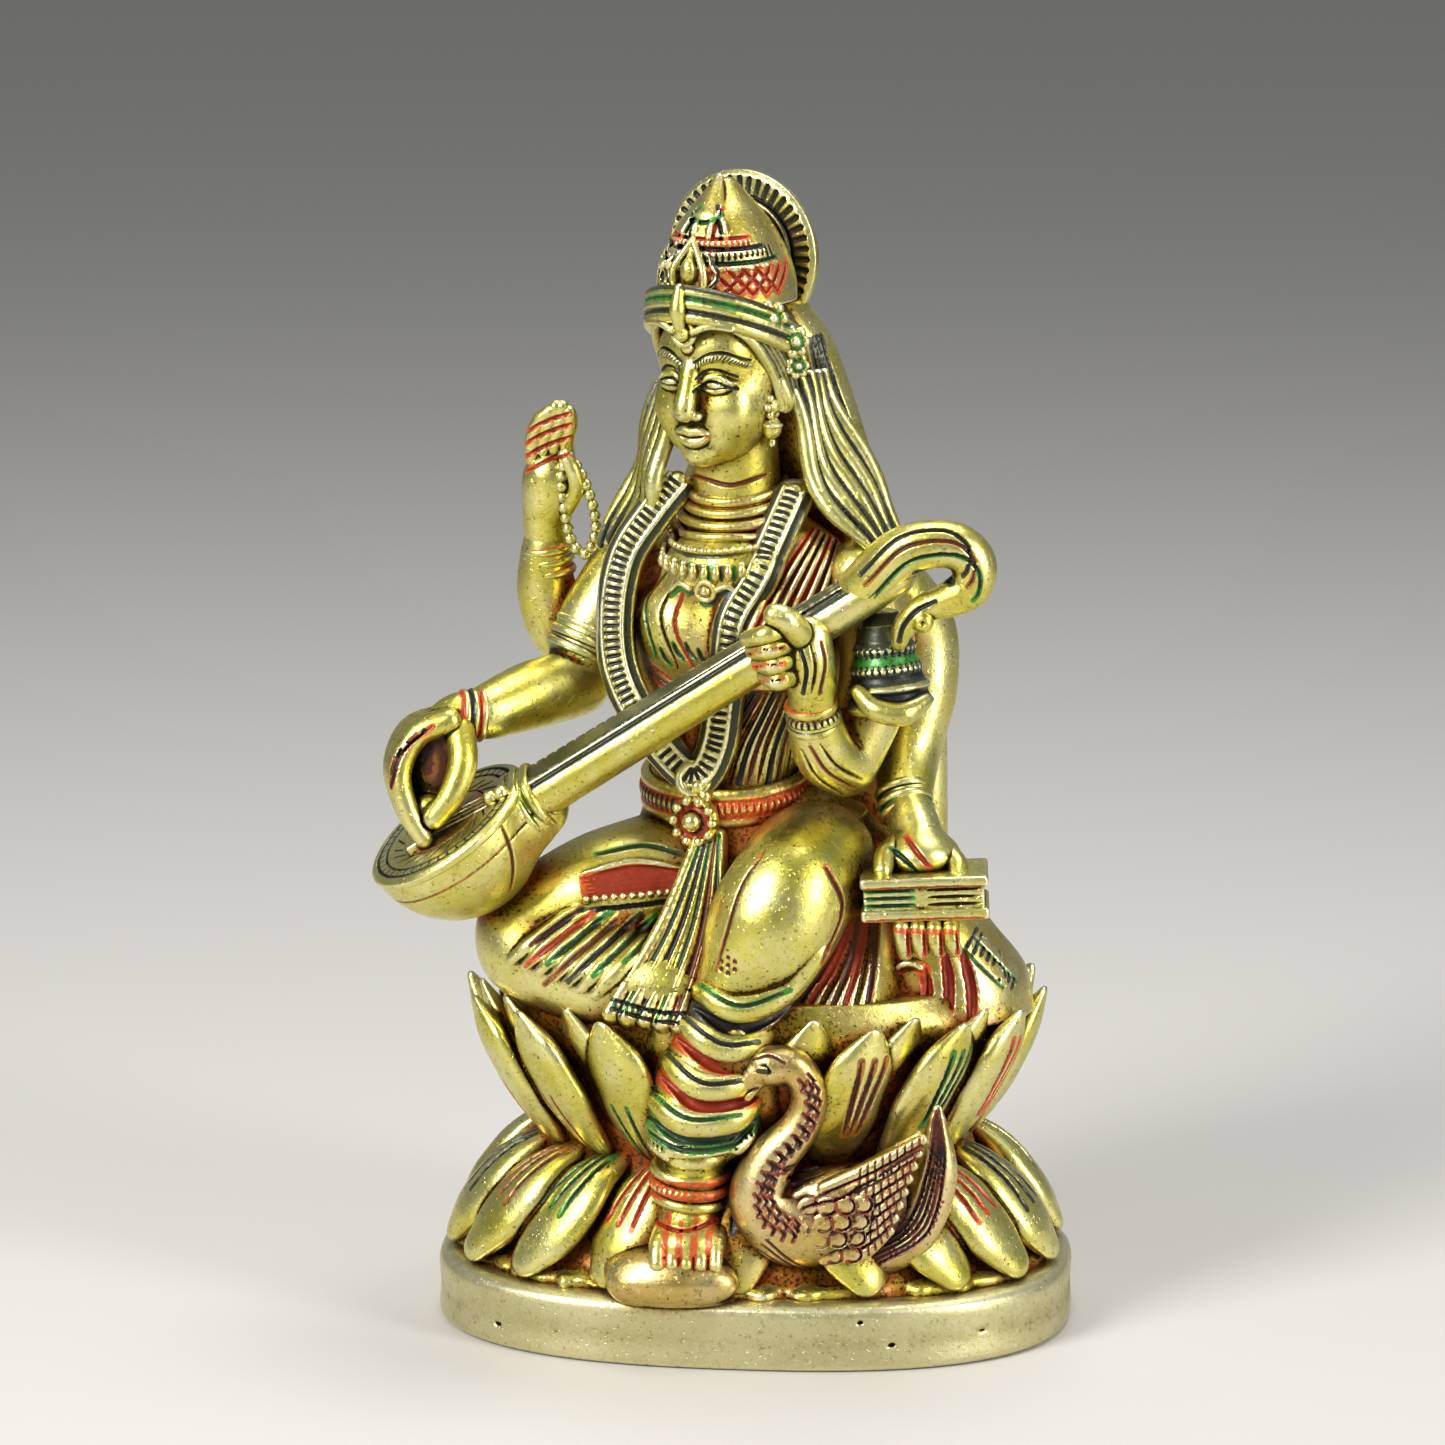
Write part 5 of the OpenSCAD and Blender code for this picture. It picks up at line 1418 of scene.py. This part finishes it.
def lute_gourd():
    gourd = Clay("lute_gourd", cell=0.17, pad=3, slot="dark_brass")
    axis = unit((-0.12, 0.08, 1))
    hub = vec(19.6, -15.6, 88.4)
    outline = [(0, 0), (5.2, 0), (5.9, 0.8), (5.3, 1.7), (5.1, 2.4), (5.6, 3.2), (4.9, 4.1), (4.6, 4.9),
               (5, 5.7), (4.4, 6.6), (4, 7.6), (4.3, 8.4), (3.6, 9.4), (3.2, 11.4), (2.2, 13.2), (0, 14)]
    gourd.add(lathe(hub, axis, outline, 0.1), 0)
    for z, r, tint in ((2.0, 5.3, "dark"), (4.5, 4.8, "dark"), (7.1, 4.2, "green"), (8.9, 4.0, "dark"),
                       (10.6, 3.4, "dark"), (12.4, 2.6, "dark")):
        gourd.paint(loop(hub + axis * z, axis, r), 1.25, tint)
    for z, r in ((5.7, 5.0), (8.3, 4.3)):
        gourd.ribs(loop(hub + axis * z, axis, r), 1.3, 1.0, 0.3, 0.35, "dark")
    knot = [(15.5, -19.5, 91.6), (18, -21, 89.6), (21.6, -21, 89), (24.4, -18.6, 90.4)]
    gourd.tube(bend(knot, 0.6), (1.0, 1.5, 1.5, 1.0), 0.3)
    return [gourd]


# ---- swan ----

SCALE = vec([(1.3 * math.cos(a), 0, 1.15 * math.sin(a)) for a in np.linspace(-1.9, 1.0, 8)])


def swan_body():
    body = Clay("swan_body", cell=0.18, pad=4, slot="swan_brass")
    neck = bend([(11.4, -22.6, 20), (6.6, -25, 19.6), (3.2, -26.4, 23.2), (4.6, -26.6, 28.6),
                 (8.6, -26.6, 33.4), (9.8, -26.4, 38.2), (7.6, -26.4, 41.6), (4.6, -26.6, 41.8)], 0.7)
    body.tube(neck, (6.5, 5.6, 4.2, 3.4, 2.7, 2.3, 2.3, 2.6), 0.4)
    body.add(blob((14, -21.5, 20), (12, 7, 6.6), Pose((0, 0, 0), 4, 0, -14)), 2)
    body.add(blob((4.2, -26.7, 41.6), (2.9, 2.3, 2.5)), 0.8)
    body.tube([(2.4, -27.4, 40.8), (0.2, -28, 38.4)], (1.5, 0.75), 0.5)
    body.tube([(3, -27.3, 39.8), (1.6, -27.8, 37.6)], (1.1, 0.6), 0.3)
    body.groove(look(body, [(3.2, 39.4), (1.8, 38.8), (0.4, 37.6)], -30), 0.35, 0.3, "brown")
    eye = look(body, [(3.9, 41.8)] * 2, -30)[0]
    body.cut(ring(eye, -VIEW, 0.85, 0.2), 0.05)
    body.paint([eye - vec(0.8, 0, 0), eye + vec(0.8, 0, 0)], 0.5, "dark")
    body.groove(look(body, [(2.6, 43.4), (4.8, 44), (6.8, 43)], -30), 0.35, 0.25, "brown")
    feather_rows = even(neck, 44)
    for i in range(5, 38):
        for s in (-1.2, 0.4, 1.7):
            if (i + int(s)) % 2 == 0:
                spot = feather_rows[i] + vec(0.72, 0, 0.5) * s * (0.55 + 0.5 * (1 - i / 40))
                dash = vec([spot, spot + vec(0.75, 0, -0.9), spot + vec(0.4, 0, -1.6)])
                body.groove(body.drop(dash, VIEW, 8, 14), 0.42, 0.4, "brown", spread=1.7)
    back = between([(6.6, 27.7), (12.1, 29.8), (25.7, 36)], [(8.4, 24.6), (15, 26.4), (24.8, 32.6)], 4)
    engrave(body, back, -28, 1.0, 0.6, ("brown",))
    belly = between([(3, 17), (9, 13.6), (18, 13)], [(5, 19.4), (9, 15.6), (14, 14.6)], 3, 0.2, 0.8)
    engrave(body, belly, -32, 0.35, 0.25, ("brown",))
    return [body]


def swan_wings():
    wing = Clay("swan_wings", cell=0.15, pad=4.5, slot="swan_brass")
    root, tip = vec(8, -27.2, 19.4), vec(23.8, -26.6, 28.6)
    wing.add(blob(mix(root, tip, 0.32) + vec(0.5, 0, -0.4), (8, 2.6, 5.4), Pose((0, 0, 0), 3, 0, -26)), 0.2)
    feathers = between([(12, 25.4), (18.4, 28.6), (25.2, 32.6)], [(12, 15.4), (17, 16.2), (20.8, 19.6)], 8)
    for k, line in enumerate(feathers):
        path = np.stack([line[:, 0], np.full(len(line), -28.3 + 0.12 * k), line[:, 1]], -1)
        wing.tube(path, (1.0, 1.05, 0.7), 0.05, (0.3, 0, 0.95), 0.9)
        wing.ribs(wing.drop(path[6:], VIEW, 4, 7), 1.2, 1.1, 0.22, 0.22, "brown", 0.6)
    for line in between(feathers[0], feathers[-1], 7, 0.07, 0.93):
        path = np.stack([line[:, 0], np.full(len(line), -28), line[:, 1]], -1)
        wing.groove(wing.drop(path, VIEW, 4, 7), 0.5, 0.55, "brown", spread=1.6)
    for row in range(4):
        for k in range(4):
            at = vec(8.6 + 2.4 * row + 0.5 * k, -29.6, 16 + 2.35 * k + 0.2 * row)
            for spot in wing.drop(at[None], VIEW, 3, 6):
                wing.add(blob(spot + VIEW * 0.1, (1.6, 0.45, 1.45)), 0.03)
                wing.groove(wing.drop(spot + SCALE, VIEW, 3, 6), 0.5, 0.55, "brown", spread=1.6)
    rim = [(6.6, 19.6), (8.6, 24.2), (15, 26.6), (24.6, 33)]
    wing.tube([vec(x, -27.6, z) for x, z in even(rim, 16)], (0.8, 1.1, 0.6), 0.2)
    wing.groove(look(wing, [(x + 0.7, z - 1) for x, z in rim], -32), 0.4, 0.45, "brown")
    return [wing]


def swan_tail():
    tail = Clay("swan_tail", cell=0.17, pad=4, slot="swan_brass")
    sweep = [(17, 15.2), (22.8, 18), (26.4, 26), (26.8, 35.4)]
    tail.tube([vec(x, -23.6, z) for x, z in even(sweep, 18)], (3.6, 3.6, 2.9, 0.7), 0.5, (1, 0, 0), 0.7)
    for line in between([(17.5, 13.4), (25.8, 18.6), (28.2, 28), (27.3, 36.6)],
                        [(18, 17.6), (22.6, 20.6), (25.4, 28), (26.6, 34.6)], 5, 0.08, 0.85):
        tail.groove(look(tail, line, -27), 0.42, 0.35, "brown")
    for line in between([(19, 14.4), (26.4, 20), (28, 29)], [(22, 17.6), (25, 24), (26.4, 31)], 3):
        tail.ribs(look(tail, line, -27), 0.8, 0.9, 0.22, 0.24, "brown", 0.8)
    return [tail]


GROUPS = [right_front_arm, right_front_hand, right_rear_arm, right_rear_bangle, right_rear_hand,
          prayer_beads, left_front_arm, left_front_bangle, left_front_hand, left_rear_arm,
          left_rear_bangle, left_rear_hand, book, skirt, right_leg, left_leg, left_foot, foot_rest,
          anklets, front_pleats, seat_drape, belt, belt_buckle, chest, head, hair, hair_locks, veil,
          crown_band, crown_cone, side_flower, earrings, halo, lute_bowl, lute_soundboard, lute_neck,
          lute_strings, lute_collar, lute_scroll, lute_gourd, swan_body, swan_wings, swan_tail,
          upper_petals, lower_petals, plinth, lotus_core]


# ---- from wax to meshes ----

def outline_points(c):
    """The finished surface of a piece: points in millimetres, and its faces."""
    f = c.field
    f[0], f[-1], f[:, 0], f[:, -1], f[:, :, 0], f[:, :, -1] = (FAR,) * 6
    grid = openvdb.FloatGrid(FAR)
    grid.copyFromArray(f)
    points, tris, quads = grid.convertToPolygons(0.0, 0.0)
    return c.start + np.array(points, float) * c.cell, np.array(tris), np.array(quads)


def surface_marks(c, points):
    """What was painted, and how sunken the surface is at two scales, as numbers on its points; the metal
    darkens sunken places, partly as patina and partly as painted shade.
    """
    marks = {name: np.zeros(len(points)) for name in PAINTS}
    for path, r, colour, much in c.marks:
        if not len(path):
            continue
        lo, hi = path.min(0) - r, path.max(0) + r
        near = np.flatnonzero(np.all((points > lo) & (points < hi), axis=1))
        if len(near):
            amount = stroke_amount(points[near], path, r) * much
            marks[colour][near] = np.maximum(marks[colour][near], amount)
    soft = np.clip(c.field, -1.5, 1.5)
    for name, size in (("fine", 0.45), ("broad", 1.3)):
        blurred = box_mean(soft, max(1, round(size / c.cell)))
        marks[name] = read_grid(blurred, c.start, c.cell, points, 0) / size
    return marks


def meet(clays, cell=0.7):
    """A coarse grid of all the pieces together, averaged, which shows the crevices between them, for the
    painted shade and patina stain that the metal puts there.
    """
    lo = np.min([c.start for c in clays], 0)
    hi = np.max([c.start + c.count * c.cell for c in clays], 0)
    field = np.full(np.ceil((hi - lo) / cell).astype(int), FAR, np.float32)
    for c in clays:
        axes = [np.arange(n) * cell + s for n, s in zip(field.shape, lo)]
        spots = [np.round((a - s) / c.cell).astype(int) for a, s in zip(axes, c.start)]
        keep = [np.flatnonzero((i >= 0) & (i < n)) for i, n in zip(spots, c.count)]
        mine = c.field[np.ix_(*(i[k] for i, k in zip(spots, keep)))]
        cut = np.ix_(*keep)
        field[cut] = np.minimum(field[cut], mine)
    field = np.clip(field, -FAR, FAR)
    return lo, cell, box_mean(field, 3), box_mean(box_mean(field, 7), 2)


def group_work(build):
    """Builds one group of pieces, ready to become meshes."""
    done = []
    for c in build():
        points, tris, quads = outline_points(c)
        done.append((c, points, tris, quads, surface_marks(c, points)))
    return done


def make_object(c, points, tris, quads, marks, material):
    mesh = bpy.data.meshes.new(c.nodes[0])
    faces = [np.array(f)[:, ::-1] for f in (tris, quads) if len(f)]
    sizes = np.concatenate([np.full(len(f), f.shape[1]) for f in faces])
    corners = np.concatenate([f.ravel() for f in faces]).astype(np.int32)
    mesh.vertices.add(len(points))
    mesh.vertices.foreach_set("co", (points * MM).astype(np.float32).ravel())
    mesh.loops.add(len(corners))
    mesh.loops.foreach_set("vertex_index", corners)
    mesh.polygons.add(len(sizes))
    mesh.polygons.foreach_set("loop_start", np.r_[0, np.cumsum(sizes)[:-1]].astype(np.int32))
    mesh.polygons.foreach_set("use_smooth", np.ones(len(sizes), bool))
    mesh.update(calc_edges=True)
    for name, values in marks.items():
        mesh.attributes.new(name, "FLOAT", "POINT").data.foreach_set("value", values.astype(np.float32))
    mesh.materials.append(material)
    piece = bpy.data.objects.new("look_" + c.nodes[0], mesh)
    bpy.context.collection.objects.link(piece)
    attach(piece, "root")
    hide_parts(*c.nodes)
    return piece


# ---- the metal ----

class Shader:
    """A short way to write a node tree."""

    def __init__(self, name):
        self.material = bpy.data.materials.new(name)
        self.material.use_nodes = True
        self.tree = self.material.node_tree
        self.out = self.tree.nodes["Principled BSDF"]
        self.place = self.node("ShaderNodeTexCoord").outputs["Object"]

    def node(self, kind, inputs=(), **settings):
        n = self.tree.nodes.new(kind)
        for key, value in settings.items():
            setattr(n, key, value)
        for key, value in dict(inputs).items():
            self.feed(n.inputs[key], value)
        return n

    def feed(self, socket, value):
        if isinstance(value, bpy.types.NodeSocket):
            self.tree.links.new(value, socket)
        elif socket.type == "RGBA":
            socket.default_value = (*value[:3], 1)
        else:
            socket.default_value = value

    def mark(self, name):
        return self.node("ShaderNodeAttribute", attribute_name=name).outputs["Fac"]

    def math(self, op, a, b=0.0, clamp=False):
        return self.node("ShaderNodeMath", {0: a, 1: b}, operation=op, use_clamp=clamp).outputs[0]

    def ramp(self, value, a, b, lo=0.0, hi=1.0):
        """Maps a value from the range a to b onto the range lo to hi, with soft ends."""
        settings = {"Value": value, "From Min": a, "From Max": b, "To Min": lo, "To Max": hi}
        return self.node("ShaderNodeMapRange", settings, interpolation_type="SMOOTHSTEP").outputs[0]

    def noise(self, size_mm, detail=3.0, rough=0.55):
        settings = {"Vector": self.place, "Scale": 1000 / size_mm, "Detail": detail, "Roughness": rough}
        return self.node("ShaderNodeTexNoise", settings).outputs[0]

    def blend(self, amount, a, b):
        n = self.node("ShaderNodeMix", data_type="RGBA")
        for i, value in ((0, amount), (6, a), (7, b)):
            self.feed(n.inputs[i], value)
        return n.outputs[2]


def linear(code):
    """A colour written as six hexadecimal digits, in linear light."""
    return tuple((int(code[i:i + 2], 16) / 255) ** 2.2 for i in (0, 2, 4))


def brass(name, light, mid, deep, stain, rough=0.34, stain_much=0.85, specks=0.75):
    """Cast and lacquered brass: darker in its recesses and in the crevices between pieces, partly patina and
    partly painted shade, and stained with patina there; lighter on its ridges, partly wear and partly a
    painted highlight; enamelled.
    """
    light, mid, deep, stain = (linear(code) for code in (light, mid, deep, stain))
    s = Shader(name)
    fine, broad = s.mark("fine"), s.mark("broad")
    near, wide = s.mark("near"), s.mark("wide")
    cloud, speck, grain = s.noise(9, 3), s.noise(1.5, 4), s.noise(0.5, 3, 0.6)
    rub = s.math("ADD", s.math("MULTIPLY", s.math("SUBTRACT", speck, 0.5), 1.1),
                 s.math("MULTIPLY", s.math("SUBTRACT", grain, 0.5), 1.0))
    # Recesses of the piece and crevices between pieces, as amounts that darken the metal: partly patina and
    # partly painted shade.
    cuts = s.ramp(fine, 0.0, -0.15)
    dips = s.ramp(broad, 0.02, -0.1)
    # Painted shade where pieces crowd each other, from the grid of all of them together.
    nook_shade = s.ramp(near, 0.15, -0.5)
    patina_and_shade = s.math("ADD", s.math("MULTIPLY", cuts, 0.9), s.math("MULTIPLY", dips, 0.55))
    depth = s.math("ADD", s.math("ADD", patina_and_shade, nook_shade), s.math("MULTIPLY", rub, 0.45))
    patina_and_shade = s.math("MINIMUM", depth, 1.0, True)
    # Ridges get the light colour, partly wear polish and partly a painted highlight.
    wear_and_highlight = s.ramp(s.math("ADD", fine, s.math("MULTIPLY", rub, 0.1)), 0.1, 0.42)
    colour = s.blend(s.ramp(cloud, 0.35, 0.65), mid, s.blend(0.3, mid, light))
    colour = s.blend(s.math("MULTIPLY", wear_and_highlight, 0.8), colour, light)
    colour = s.blend(s.ramp(rub, 0.08, 0.45, 0.0, 0.55), colour, deep)
    colour = s.blend(s.ramp(rub, -0.1, -0.4, 0.0, 0.5), colour, light)
    # Patina and painted shade: the deep colour fills the recesses and crevices.
    colour = s.blend(s.math("MULTIPLY", patina_and_shade, 0.92), colour, deep)
    # The deepest recesses and crevices turn near black, partly soot and partly painted shade.
    colour = s.blend(s.ramp(depth, 0.7, 1.35, 0.0, 0.92), colour, linear(SOOT_AND_SHADE))
    sink = s.ramp(s.math("ADD", wide, s.math("MULTIPLY", rub, 0.7)), 0.16, -0.5)
    patch = s.math("ADD", s.math("MULTIPLY", s.ramp(cloud, 0.4, 0.6), 0.7), 0.3)
    stained = s.math("MULTIPLY", s.math("MULTIPLY", sink, patch), s.math("SUBTRACT", 1.0, wear_and_highlight), True)
    colour = s.blend(s.math("MULTIPLY", stained, stain_much), colour, stain)
    grit = s.ramp(s.math("ADD", grain, s.math("MULTIPLY", patina_and_shade, 0.13)), 0.64, 0.71, 0.0, specks)
    colour = s.blend(grit, colour, linear(GRIT))
    painted = 0.0
    for paint, (thin, thick) in PAINT_COLOURS.items():
        amount = s.math("SUBTRACT", s.mark(paint), s.math("MULTIPLY", wear_and_highlight, 0.8))
        amount = s.math("SUBTRACT", amount, s.math("MULTIPLY", s.math("ADD", rub, 0.1), 0.8))
        amount = s.ramp(amount, 0.12, 0.6)
        # Paint turns to its thick colour in recesses and crevices, partly pooled paint and partly painted
        # shade.
        tint = s.blend(s.math("MAXIMUM", patina_and_shade, s.ramp(rub, -0.1, 0.25)), linear(thin), linear(thick))
        colour = s.blend(s.math("MULTIPLY", amount, 0.94), colour, tint)
        painted = s.math("MAXIMUM", painted, amount) if painted else amount
    s.feed(s.out.inputs["Base Color"], colour)
    dull = s.math("MAXIMUM", painted, s.math("MULTIPLY", stained, 0.6))
    s.feed(s.out.inputs["Metallic"], s.ramp(dull, 0.0, 1.0, 1.0, 0.35))
    sheen = s.math("ADD", s.math("MULTIPLY", s.math("SUBTRACT", speck, 0.5), 0.3), rough)
    s.feed(s.out.inputs["Roughness"], s.math("ADD", sheen, s.math("MULTIPLY", patina_and_shade, 0.15), True))
    s.out.inputs["Coat Weight"].default_value = 0.12
    s.out.inputs["Coat Roughness"].default_value = 0.18
    pit = s.ramp(s.noise(0.55, 2, 0.5), 0.36, 0.28, 0, 1)
    relief = s.math("SUBTRACT", s.math("MULTIPLY", grain, 0.45), s.math("MULTIPLY", pit, 0.5))
    bump = s.node("ShaderNodeBump", {"Strength": 0.5, "Distance": 0.0002, "Height": relief})
    s.feed(s.out.inputs["Normal"], bump.outputs[0])
    return s.material


# A near black for the deepest recesses and crevices, partly soot and partly painted shade; and the colour of
# grit.
SOOT_AND_SHADE, GRIT = "241A06", "1A1204"
PAINT_COLOURS = {"amber": ("A86410", "4A2404"), "brown": ("7A2808", "240804"), "red": ("C84A02", "8A2A02"),
                 "green": ("1C7C28", "04280C"), "dark": ("08201C", "020403")}  # thin, thick
LIGHT = "FCF8D4"
# Each brass has a light, a mid, a deep and a stain colour; the deep colour goes into its recesses and
# crevices as patina and painted shade, and into random grain.
MATERIALS = {
    "plinth_brass": brass("plinth_brass", "E4DEB4", "C6BE8C", "8A7838", "9C4A04", rough=0.42, specks=0.3),
    "polished_brass": brass("polished_brass", LIGHT, "CEC456", "84700E", "9C4A04"),
    "tinted_brass": brass("tinted_brass", LIGHT, "D0BE58", "6E3406", "9A2E04", stain_much=0.9),
    "dark_brass": brass("dark_brass", LIGHT, "C6BE66", "16180C", "0C120C"),
    "swan_brass": brass("swan_brass", "F8EEC4", "C8AC62", "42100A", "561404", stain_much=1.0),
}


# ---- put together ----

with ThreadPoolExecutor(4) as pool:
    work = [item for group in pool.map(group_work, GROUPS) for item in group]
# The crevices between pieces: near darkens the metal there as painted shade, and wide places its patina
# stain.
start, step, near_field, wide_field = meet([item[0] for item in work])
for clay, points, tris, quads, marks in work:
    marks["near"] = read_grid(near_field, start, step, points, 0)
    marks["wide"] = read_grid(wide_field, start, step, points, 0) / 2
    make_object(clay, points, tris, quads, marks, MATERIALS[clay.slot])


# ---- table, light and camera ----

def panel(name, at, size, power):
    """A soft studio light that shines at the middle of the object."""
    data = bpy.data.lights.new(name, "AREA")
    data.shape = "RECTANGLE"
    data.size, data.size_y = size
    data.energy = power
    lamp = bpy.data.objects.new(name, data)
    lamp.location = at
    lamp.rotation_euler = (HEART - Vector(at)).to_track_quat("-Z", "Y").to_euler()
    bpy.context.collection.objects.link(lamp)


TABLE_SIZE = 12
bpy.ops.mesh.primitive_plane_add(size=TABLE_SIZE, location=(0, 0, 0))
floor = bpy.context.object
floor.name = "table"
paper = bpy.data.materials.new("table")
paper.use_nodes = True
surface = paper.node_tree.nodes["Principled BSDF"]
surface.inputs["Base Color"].default_value = (0.5, 0.48, 0.45, 1)
surface.inputs["Roughness"].default_value = 0.6
floor.data.materials.append(paper)

HEART = Vector((0, 0, 0.08))
panel("key", (-0.42, -0.5, 0.5), (0.24, 0.36), 7.4)
panel("side", (0.55, -0.32, 0.3), (0.16, 0.5), 3.4)
panel("top", (0.05, 0.1, 0.7), (0.4, 0.3), 3.4)
world = bpy.data.worlds.new("studio")
bpy.context.scene.world = world
world.use_nodes = True
sky = world.node_tree.nodes["Background"]
sky.inputs["Color"].default_value = (0.75, 0.78, 0.8, 1)
sky.inputs["Strength"].default_value = 0.32

AIM, DISTANCE, SPAN = vec(-4.64, -0.29, 82.91) * MM, 0.8, 0.1977  # SPAN is the width seen at AIM
SENSOR = 36
lens = bpy.data.cameras.new("camera")
lens.sensor_width = SENSOR
lens.lens = SENSOR * DISTANCE / SPAN
camera = bpy.data.objects.new("camera", lens)
camera.location = AIM - VIEW * DISTANCE
camera.rotation_euler = Vector(VIEW).to_track_quat("-Z", "Y").to_euler()
bpy.context.collection.objects.link(camera)
bpy.context.scene.camera = camera
bpy.context.scene.view_settings.view_transform = "Standard"
